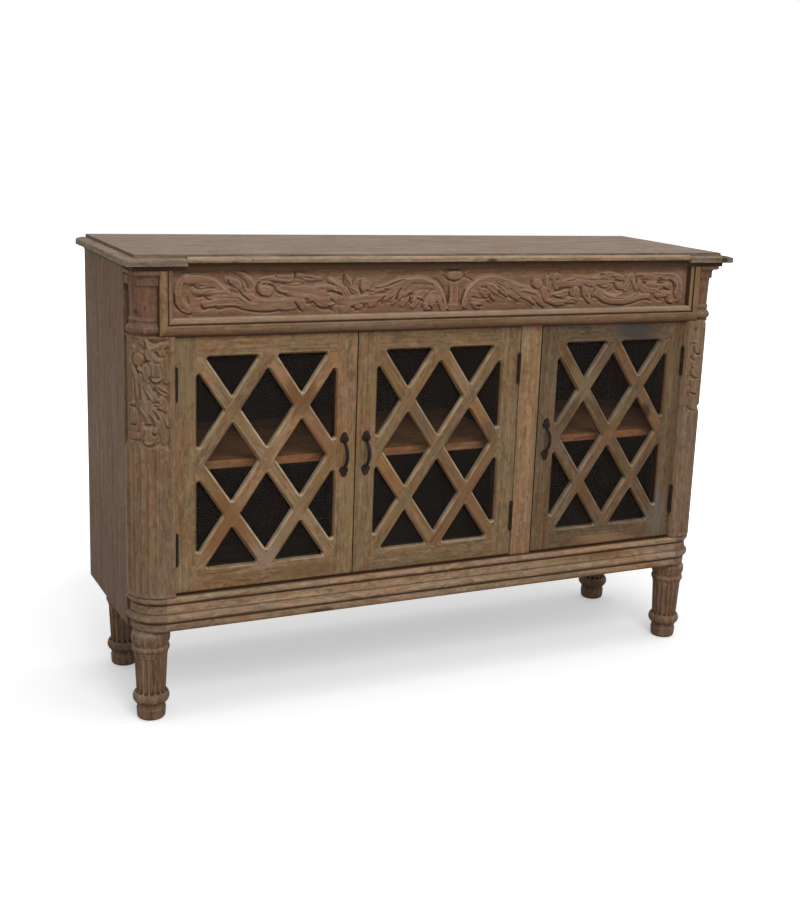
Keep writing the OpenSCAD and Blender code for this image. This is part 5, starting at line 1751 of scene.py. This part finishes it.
@dataclass
class Carcass:
    """The cabinet without its doors."""

    frame: dict
    half: float = 0.657
    side_board: float = 0.0195
    frieze_low: float = 0.7645
    frieze_middle: float = -0.0043
    frieze_half: float = 0.604

    def _wood(
        self, nodes: tuple[str, ...], name: str, tone: WoodTone, grain: Grain, seed: float, **looks: object
    ) -> None:
        """Gives CAD nodes one wood; looks are further fields of LimedWood."""
        dress(nodes, LimedWood(name, tone, grain, seed, **looks), self.frame)

    def dress(self) -> None:
        """Finishes the CAD nodes of the cabinet."""
        top = {"streaks": 0.6, "dust": 0.2, "boards": 0.145, "knots": 0.25, "mottle": 0.65}
        self._wood(("top_board",), "top_wood", TOP_TONE, Grain.X, 1.0, **top)
        edges = ("top_edge_left", "top_edge_right", "top_edge_back")
        # The lip's sides get strong painted shade on what looks down and a band of it at their lower edge.
        under = {"dust": 0.2, "under": 0.9, "grime": lip_grime(TopLip.low)}
        self._wood(edges, "lip_sides", LIP_TONE.dimmed(0.93), Grain.Y, 1.7, **under)
        # The side planks grow darker towards the bottom, and are painted dark as shade inside the cabinet.
        planks = {"inner_half": self.half - self.side_board, "knots": 0.15, "grime": (Grime(Z, 0.60, 0.22, 0.35),)}
        self._wood(("side_panel_left", "side_panel_right"), "side_planks", SIDE_TONE, Grain.Z, 2.0, **planks)
        # Hidden parts inside the cabinet are painted dark as shade.
        bare = {"dust": 0.0, "cavity": 0.0, "wear": 0}
        hidden = ("bottom_board", "partition", "shelf_cleats", "leg_blocks")
        self._wood(hidden, "inner_wood", DARK_TONE, Grain.X, 2.6, **bare)
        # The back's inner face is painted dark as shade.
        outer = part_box("back_panel")[1][Y]
        back = {"knots": 0.15, "boards": 0.12, "grime": (Grime(Y, outer - 0.002, outer - 0.004, 1.0, INSIDE),)}
        self._wood(("back_panel", "back_rail"), "back_wood", SIDE_TONE.dimmed(0.85), Grain.X, 2.7, **bare, **back)
        self._wood(("shelf_wide", "shelf_narrow"), "shelf_wood", SHELF_TONE, Grain.X, 2.9)
        # The mullion's sides get painted shade.
        upright = {"patches": 0.35, "flanks": 0.8, "marks": MULLION_MARKS}
        self._wood(("mullion",), "mullion_wood", FRONT_TONE.dimmed(1.08), Grain.Z, 3.3, **upright)
        self._dress_frieze_frame()
        self._dress_base()
        column = {"streaks": 0.15, "dust": 0.25, "patches": 0.8, "calm": 0.35, "marks": NECK_MARKS}
        for side in ("left", "right"):
            nodes = (f"post_column_{side}", f"post_cap_{side}")
            self._wood(nodes, f"column_{side}", NECK_TONE, Grain.Z, 5.0 + len(side), **column)
        legs = ("leg_front_left", "leg_front_right", "leg_rear_left", "leg_rear_right")
        self._wood(legs, "leg_wood", LEG_TONE, Grain.Z, 7.3, dust=0.25, wear=0.4)
        dress(("hinge_leaves_cabinet", "hinge_pins"), DarkIron("hinge_iron"), self.frame)
        LOG.info("carcass dressed")

    def _dress_frieze_frame(self) -> None:
        """Finishes the moulded frame round the carving, with painted shade in its grooves, on its sides and on the
        rail's lower part over the doors, and a painted highlight on the rail's inner bead.
        """
        low = self.frieze_low
        # A painted highlight on the inner bead, then painted shade in the groove, below it and over the doors.
        over_doors = (
            Grime(Z, low + 0.0235, low + 0.026, 0.4, srgb(156, 132, 110)),
            Grime(Z, low + 0.0215, low + 0.0195, 0.3, srgb(84, 62, 38)),
            Grime(Z, low + 0.013, low + 0.001, 0.8),
        )
        rail = {"grime": over_doors, "seams": (Seam(Z, low + 0.0214, 0.0022),)}
        self._wood(("frieze_mould_bottom",), "frieze_rail_wood", FRAME_TONE, Grain.X, 3.7, **rail)
        out = self.frieze_half - 0.016
        # Painted shade in the sides' grooves and on what looks aside.
        seams = tuple(Seam(X, self.frieze_middle + way * out, 0.0018) for way in (-1, 1))
        sides = ("frieze_mould_sides",)
        self._wood(sides, "frieze_side_wood", FRAME_TONE, Grain.Z, 3.8, flanks=0.75, seams=seams)

    def _dress_base(self) -> None:
        """Finishes the base moulding, with painted shade on its ledge beside the doors, at its lower edge, in its
        grooves and in its hollows.
        """
        # Painted shade on the ledge by the doors and at the lower edge.
        ledge = (Grime(Z, 0.2600, 0.2608), Grime(Z, 0.1975, 0.1905, 0.6))
        grooves = (Seam(Z, 0.2452, 0.0034, 0.92), Seam(Z, 0.2066, 0.0034, 0.9), Seam(Z, 0.2264, 0.0020, 0.6))
        both = {"dust": 0.15, "seams": grooves}
        front = {"knots": 0.2, "cavity": 0.35, "grime": ledge, "marks": BASE_MARKS}
        self._wood(("base_front",), "base_wood", BASE_TONE, Grain.X, 6.1, **both, **front)
        corners = ("base_corner_left", "base_corner_right")
        self._wood(corners, "base_corner_wood", BASE_TONE.dimmed(0.84), Grain.X, 6.7, cavity=0.45, **both)


@dataclass
class Door:
    """One of the three doors."""

    name: str
    index: int
    frame: dict
    member: float = 0.043
    rail_bottom: float = 0.045
    rail_top: float = 0.040

    @property
    def tint(self) -> tuple[float, float, float]:
        """How much the door's wood differs from the others' in red, green and blue: partly its own tone, partly
        painted shade that deepens to the right, where the light falls off.
        """
        return ((1.0, 1.01, 1.0), (0.95, 0.96, 0.95), (0.79, 0.80, 0.81))[self.index]

    def _wood(self, part: str, tone: WoodTone, grain: Grain, seed: float, **looks: object) -> LimedWood:
        """Returns the wood of one part of the door; seed counts from the door's own."""
        return LimedWood(f"{self.name}_{part}_wood", tone, grain, 10.0 + self.index * 2.7 + seed, **looks)

    def dress(self) -> None:
        """Finishes the door's CAD nodes."""
        tone = FRONT_TONE.dimmed(*self.tint)
        marks = DOOR_MARKS[self.index]
        # Painted shade in the gaps below and above the door.
        frame = {"patches": 0.75, "grime": (Grime(Z, 0.2665, 0.2635), Grime(Z, 0.7590, 0.7620)), "marks": marks}
        bars = {"patches": 0.8, "boards": 0.08, "cloud": 15, "marks": marks}
        # The lattice and its corners take strong pale wax on what looks up, partly a painted highlight on the
        # chamfers.
        web = self._wood("web", tone, Grain.Z, 1.1, patches=0.8, dust=0.9)
        finishes = {
            # The stiles get painted shade on what looks aside, and the beads are painted dark as the shade behind the
            # lattice.
            "stiles": self._wood("stile", tone, Grain.Z, 0.0, knots=0.12, flanks=0.8, **frame),
            "rails": self._wood("rail", tone, Grain.X, 0.4, **frame),
            "lattice_rise": self._wood("rise", tone, Grain.RISE, 0.9, dust=0.75, **bars),
            "lattice_fall": self._wood("fall", tone, Grain.FALL, 1.3, dust=0.95, **bars),
            "beads": self._wood("bead", DARK_TONE, Grain.Z, 1.8, cavity=0.0),
            "glass": Pane(f"{self.name}_pane"),
            "hinge_leaves": DarkIron(f"{self.name}_iron"),
        }
        for part, finish in finishes.items():
            dress((f"{self.name}_{part}",), finish, self.frame)
        OpeningCorners(self.name, web.material(), *self._opening()).build()
        DoorPull(self.name, DarkIron(f"{self.name}_pull_iron").material()).build()
        LOG.info("door %s dressed", self.name)

    def _opening(self) -> tuple[float, float, float, float]:
        """Returns the left, right, lower and upper edge of the opening in the door's frame."""
        low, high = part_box(f"{self.name}_stiles")
        return low[0] + self.member, high[0] - self.member, low[2] + self.rail_bottom, high[2] - self.rail_top


@dataclass
class OpeningCorners:
    """The rounded corners of a door's openings, between bars, stiles and rails."""

    door: str
    finish: bpy.types.Material
    left: float
    right: float
    low: float
    high: float
    front: float = -0.1755
    radius: float = 0.0042
    chamfer: float = 0.0035
    depth: float = 0.0119
    bar: float = 0.027
    segments: int = 6

    def openings(self) -> list[list[tuple[float, float]]]:
        """Outlines the twelve openings that the bars and the frame leave.

        Returns:
            Each opening's corners as (x, z).
        """
        wide, tall = self.right - self.left, self.high - self.low
        slant = math.hypot(wide, tall)
        half_wide = wide / 4 - self.bar / 2 * slant / tall
        half_tall = tall / 4 - self.bar / 2 * slant / wide
        left, low = self.left, self.low
        shapes = []
        for u, v in ((0.5, 0.25), (0.25, 0.5), (0.75, 0.5), (0.5, 0.75)):
            x, z = left + wide * u, low + tall * v
            shapes.append([(x - half_wide, z), (x, z - half_tall), (x + half_wide, z), (x, z + half_tall)])
        for u in (0.25, 0.75):
            for v, turn in ((0, 1), (1, -1)):
                x, z = left + wide * u, low + tall * v
                shapes.append([(x - half_wide, z), (x + half_wide, z), (x, z + turn * half_tall)])
                x, z = left + wide * v, low + tall * u
                shapes.append([(x, z - half_tall), (x, z + half_tall), (x + turn * half_wide, z)])
        return shapes

    def build(self) -> None:
        """Builds every corner of every opening as one piece."""
        shape = bmesh.new()
        for outline in self.openings():
            count = len(outline)
            for index in range(count):
                here, before, after = (Vector(outline[k % count]) for k in (index, index - 1, index + 1))
                self._corner(shape, here, (before - here).normalized(), (after - here).normalized())
        publish(f"{self.door}_opening_corners", shape, self.finish, f"door_{self.door}", smooth=False)

    def _corner(self, shape: Shape, corner: Vector, first: Vector, second: Vector) -> None:
        """Fills one corner with a web whose hollow side is round and chamfered.

        Args:
            shape: the mesh it is added to.
            corner: the opening's sharp corner, as (x, z).
            first: direction of one side.
            second: direction of the other.
        """
        half = first.angle(second) / 2
        inward = (first + second).normalized()
        centre = corner + inward * (self.radius / math.sin(half))
        start = math.atan2(-inward.y, -inward.x) - (math.pi / 2 - half)
        rings = ((0.00003, self.chamfer), (self.chamfer, 0.0), (self.depth, 0.0))
        face, places = None, []
        for deep, spread in rings:
            reach = self.radius + spread
            earlier, places = places, [centre - inward * ((reach + 0.0004) / math.sin(half))]
            for step in range(self.segments + 1):
                turn = start + (math.pi - 2 * half) * step / self.segments
                places.append(centre + Vector((math.cos(turn), math.sin(turn))) * reach)
            if face is None:
                face = shape.faces.new([shape.verts.new((x, self.front + deep, z)) for x, z in places])
                continue
            face = grown(shape, face, deep > self.chamfer)
            for vert in face.verts:
                nearest = min(range(len(earlier)), key=lambda k: (earlier[k] - vert.co.xz).length)
                vert.co = (places[nearest].x, self.front + deep, places[nearest].y)


@dataclass
class DoorPull:
    """A forged pull: a bow between two domed, lobed leaves."""

    door: str
    finish: bpy.types.Material
    leaf_from: float = 0.0215
    leaf_heart: float = 0.0105
    reach: float = 0.0190
    bow_thick: float = 0.0024

    def build(self) -> None:
        """Builds the pull in the place of the plain one."""
        low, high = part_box(f"{self.door}_pull")
        foot = Vector(((low[0] + high[0]) / 2, high[1], (low[2] + high[2]) / 2))
        shape = bmesh.new()
        self._bow(shape, foot)
        for way in (-1, 1):
            self._leaf(shape, foot + Vector((0, 0, way * (self.leaf_from + self.leaf_heart))), way)
        piece = publish(f"{self.door}_pull_forged", shape, self.finish, f"door_{self.door}")
        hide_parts(f"{self.door}_pull")

    def _bow(self, shape: Shape, foot: Vector) -> None:
        """Sweeps the bow's section round, widest in the middle, and cuts it off at the door.

        Args:
            shape: the mesh.
            foot: the door's face behind the bow.
        """
        chord, steps = self.leaf_from + 0.005, 20
        radius = (chord**2 + self.reach**2) / (2 * self.reach)
        sweep = math.asin(chord / radius)
        hub = foot + Vector((0, radius - self.reach, 0))
        widths = [0.0021 + 0.0019 * math.sin(math.pi * step / steps) for step in range(steps + 1)]
        ring = bmesh.ops.create_circle(shape, cap_ends=True, segments=16, radius=1)["verts"]
        for vert in ring:
            vert.co = hub + Vector((vert.co.x * widths[0], vert.co.y * self.bow_thick - radius, 0))
        bmesh.ops.rotate(shape, cent=hub, matrix=Matrix.Rotation(-sweep, 3, "X"), verts=ring)
        face = ring[0].link_faces[0]
        for step in range(1, steps + 1):
            face = grown(shape, face, step > 1)
            bmesh.ops.rotate(shape, cent=hub, matrix=Matrix.Rotation(2 * sweep / steps, 3, "X"), verts=face.verts)
            spread = (widths[step] / widths[step - 1], 1, 1)
            bmesh.ops.scale(shape, vec=spread, space=Matrix.Translation(-hub), verts=face.verts)
        whole = shape.verts[:] + shape.edges[:] + shape.faces[:]
        bmesh.ops.bisect_plane(shape, geom=whole, plane_co=foot, plane_no=(0, 1, 0), clear_outer=True)
        bmesh.ops.holes_fill(shape, edges=[e for e in shape.edges if e.is_boundary])

    def _leaf(self, shape: Shape, heart: Vector, way: int) -> None:
        """Adds one leaf, domed up to its rivet.

        Args:
            shape: the mesh.
            heart: the leaf's middle.
            way: 1 if it points up, -1 if down.
        """
        ring = bmesh.ops.create_circle(shape, cap_ends=True, segments=40, radius=1)["verts"]
        for vert in ring:
            across, along = self._lobes(math.atan2(vert.co.x, vert.co.y))
            vert.co = heart + Vector((across, 0, way * along))
        face = ring[0].link_faces[0]
        for rise, size in ((0.0018, 1.0), (0.0010, 0.86), (0.0007, 0.64), (0.0, 0.45), (0.0010, 0.95), (0.0005, 0.6)):
            face = grown(shape, face, face.verts[0] not in ring)
            bmesh.ops.translate(shape, vec=(0, -rise, 0), verts=face.verts)
            bmesh.ops.scale(shape, vec=(size, 1, size), space=Matrix.Translation(-heart), verts=face.verts)

    @staticmethod
    def _lobes(turn: float) -> tuple[float, float]:
        """Draws a leaf's edge: a tip, two lobes and a neck.

        Args:
            turn: angle from the tip.

        Returns:
            The edge, across and along the leaf.
        """
        tip = max(math.cos(turn), 0.0) ** 4
        notch = math.exp(-(((abs(turn) - 0.85) / 0.25) ** 2))
        neck = math.exp(-(((abs(turn) - math.pi) / 0.55) ** 2))
        radius = 0.0093 + 0.0046 * tip - 0.0013 * notch - 0.0018 * neck
        return radius * math.sin(turn), radius * math.cos(turn)


@dataclass
class Studio:
    """Floor, light and camera."""

    yaw: float = math.radians(28.21)
    pitch: float = math.radians(-13.45)
    roll: float = math.radians(2.765)
    eye: tuple[float, float, float] = (-1.2530, -2.5999, 1.1751)
    lens: float = 54.07
    sensor: float = 36
    shift: tuple[float, float] = (-0.0769, -0.0068)

    def build(self) -> None:
        """Builds the whole studio."""
        self._floor()
        self._world()
        self._lamp("key", (-0.6, -3.4, 2.9), (0, 0, 0.45), 2.0, 84)
        self._lamp("top", (0.3, -0.2, 3.2), (0, 0, 0.5), 2.4, 32)
        self._camera()
        bpy.context.scene.view_settings.view_transform = "Standard"
        LOG.info("studio built")

    def _floor(self) -> None:
        """Lays a floor that the camera sees as white paper with the object's shadow."""
        shape = bmesh.new()
        bmesh.ops.create_grid(shape, x_segments=4, y_segments=4, size=9)
        mesh = bpy.data.meshes.new("floor")
        shape.to_mesh(mesh)
        shape.free()
        g = Graph("floor_paper")
        paper = g.surface(Base_Color=(0.86, 0.86, 0.86, 1), Roughness=0.95, Specular_IOR_Level=0.1)
        path = g.add("LightPath")
        glow = g.add("Emission")
        reach = g.vectors("LENGTH", g.place)
        bright = g.fit(reach.outputs["Value"], 0.9, 1.8, 0.35, 1.0)
        mirrored = g.maths("MAXIMUM", path.outputs["Is Glossy Ray"], path.outputs["Is Transmission Ray"])
        seen = g.maths("MAXIMUM", path.outputs["Is Camera Ray"], mirrored)
        g.feed(glow.inputs["Strength"], g.maths("MULTIPLY", seen, bright))
        both = g.add("AddShader", paper.outputs["BSDF"], glow.outputs["Emission"])
        g.feed(g.output.inputs["Surface"], both.outputs["Shader"])
        mesh.materials.append(g.material)
        floor = bpy.data.objects.new("floor", mesh)
        bpy.context.scene.collection.objects.link(floor)

    def _world(self) -> None:
        """Makes the background white to the camera and softer as a light."""
        world = bpy.data.worlds.new("studio")
        bpy.context.scene.world = world
        world.use_nodes = True
        tree = world.node_tree
        tree.nodes.clear()
        output = tree.nodes.new("ShaderNodeOutputWorld")
        path = tree.nodes.new("ShaderNodeLightPath")
        lit = tree.nodes.new("ShaderNodeBackground")
        lit.inputs["Color"].default_value = (1, 1, 1, 1)
        lit.inputs["Strength"].default_value = 0.5
        seen = tree.nodes.new("ShaderNodeBackground")
        seen.inputs["Color"].default_value = (1, 1, 1, 1)
        choose = tree.nodes.new("ShaderNodeMixShader")
        view = path.outputs["Is Camera Ray"]
        for ray in ("Is Glossy Ray", "Is Transmission Ray"):
            either = tree.nodes.new("ShaderNodeMath")
            either.operation = "MAXIMUM"
            tree.links.new(view, either.inputs[0])
            tree.links.new(path.outputs[ray], either.inputs[1])
            view = either.outputs[0]
        tree.links.new(view, choose.inputs[0])
        tree.links.new(lit.outputs[0], choose.inputs[1])
        tree.links.new(seen.outputs[0], choose.inputs[2])
        tree.links.new(choose.outputs[0], output.inputs["Surface"])

    def _lamp(self, name: str, place: tuple, aim: tuple, size: float, power: float) -> None:
        """Hangs a square area light that looks at a point.

        Args:
            name: its name.
            place: where it hangs.
            aim: what it looks at.
            size: its side.
            power: in watts.
        """
        lamp = bpy.data.lights.new(name, "AREA")
        lamp.size = size
        lamp.energy = power
        holder = bpy.data.objects.new(name, lamp)
        holder.location = place
        holder.rotation_euler = (Vector(aim) - Vector(place)).to_track_quat("-Z", "Y").to_euler()
        bpy.context.scene.collection.objects.link(holder)

    def _camera(self) -> None:
        """Sets the camera at the photograph's angle."""
        cos, sin = math.cos, math.sin
        ahead = Vector((sin(self.yaw) * cos(self.pitch), cos(self.yaw) * cos(self.pitch), sin(self.pitch)))
        level = Vector((cos(self.yaw), -sin(self.yaw), 0))
        above = level.cross(ahead)
        right = level * cos(self.roll) + above * sin(self.roll)
        up = -level * sin(self.roll) + above * cos(self.roll)
        turn = Matrix((right, up, -ahead)).transposed().to_4x4()
        data = bpy.data.cameras.new("camera")
        data.lens = self.lens
        data.sensor_width = self.sensor
        data.shift_x, data.shift_y = self.shift
        camera = bpy.data.objects.new("camera", data)
        camera.matrix_world = Matrix.Translation(self.eye) @ turn
        bpy.context.scene.collection.objects.link(camera)
        bpy.context.scene.camera = camera


def main() -> None:
    """Builds the sideboard in order."""
    logging.basicConfig(level=logging.INFO, format="%(message)s")
    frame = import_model()
    Studio().build()
    Carcass(frame).dress()
    TopLip().build()
    LOG.info("top lip built")
    Frieze().build()
    LOG.info("frieze carved")
    for side in Side:
        CornerPost(side).build()
        LOG.info("corner post %s carved", side.name.lower())
    for index, name in enumerate(DOORS):
        Door(name, index, frame).dress()


if __name__ == "__main__":
    main()
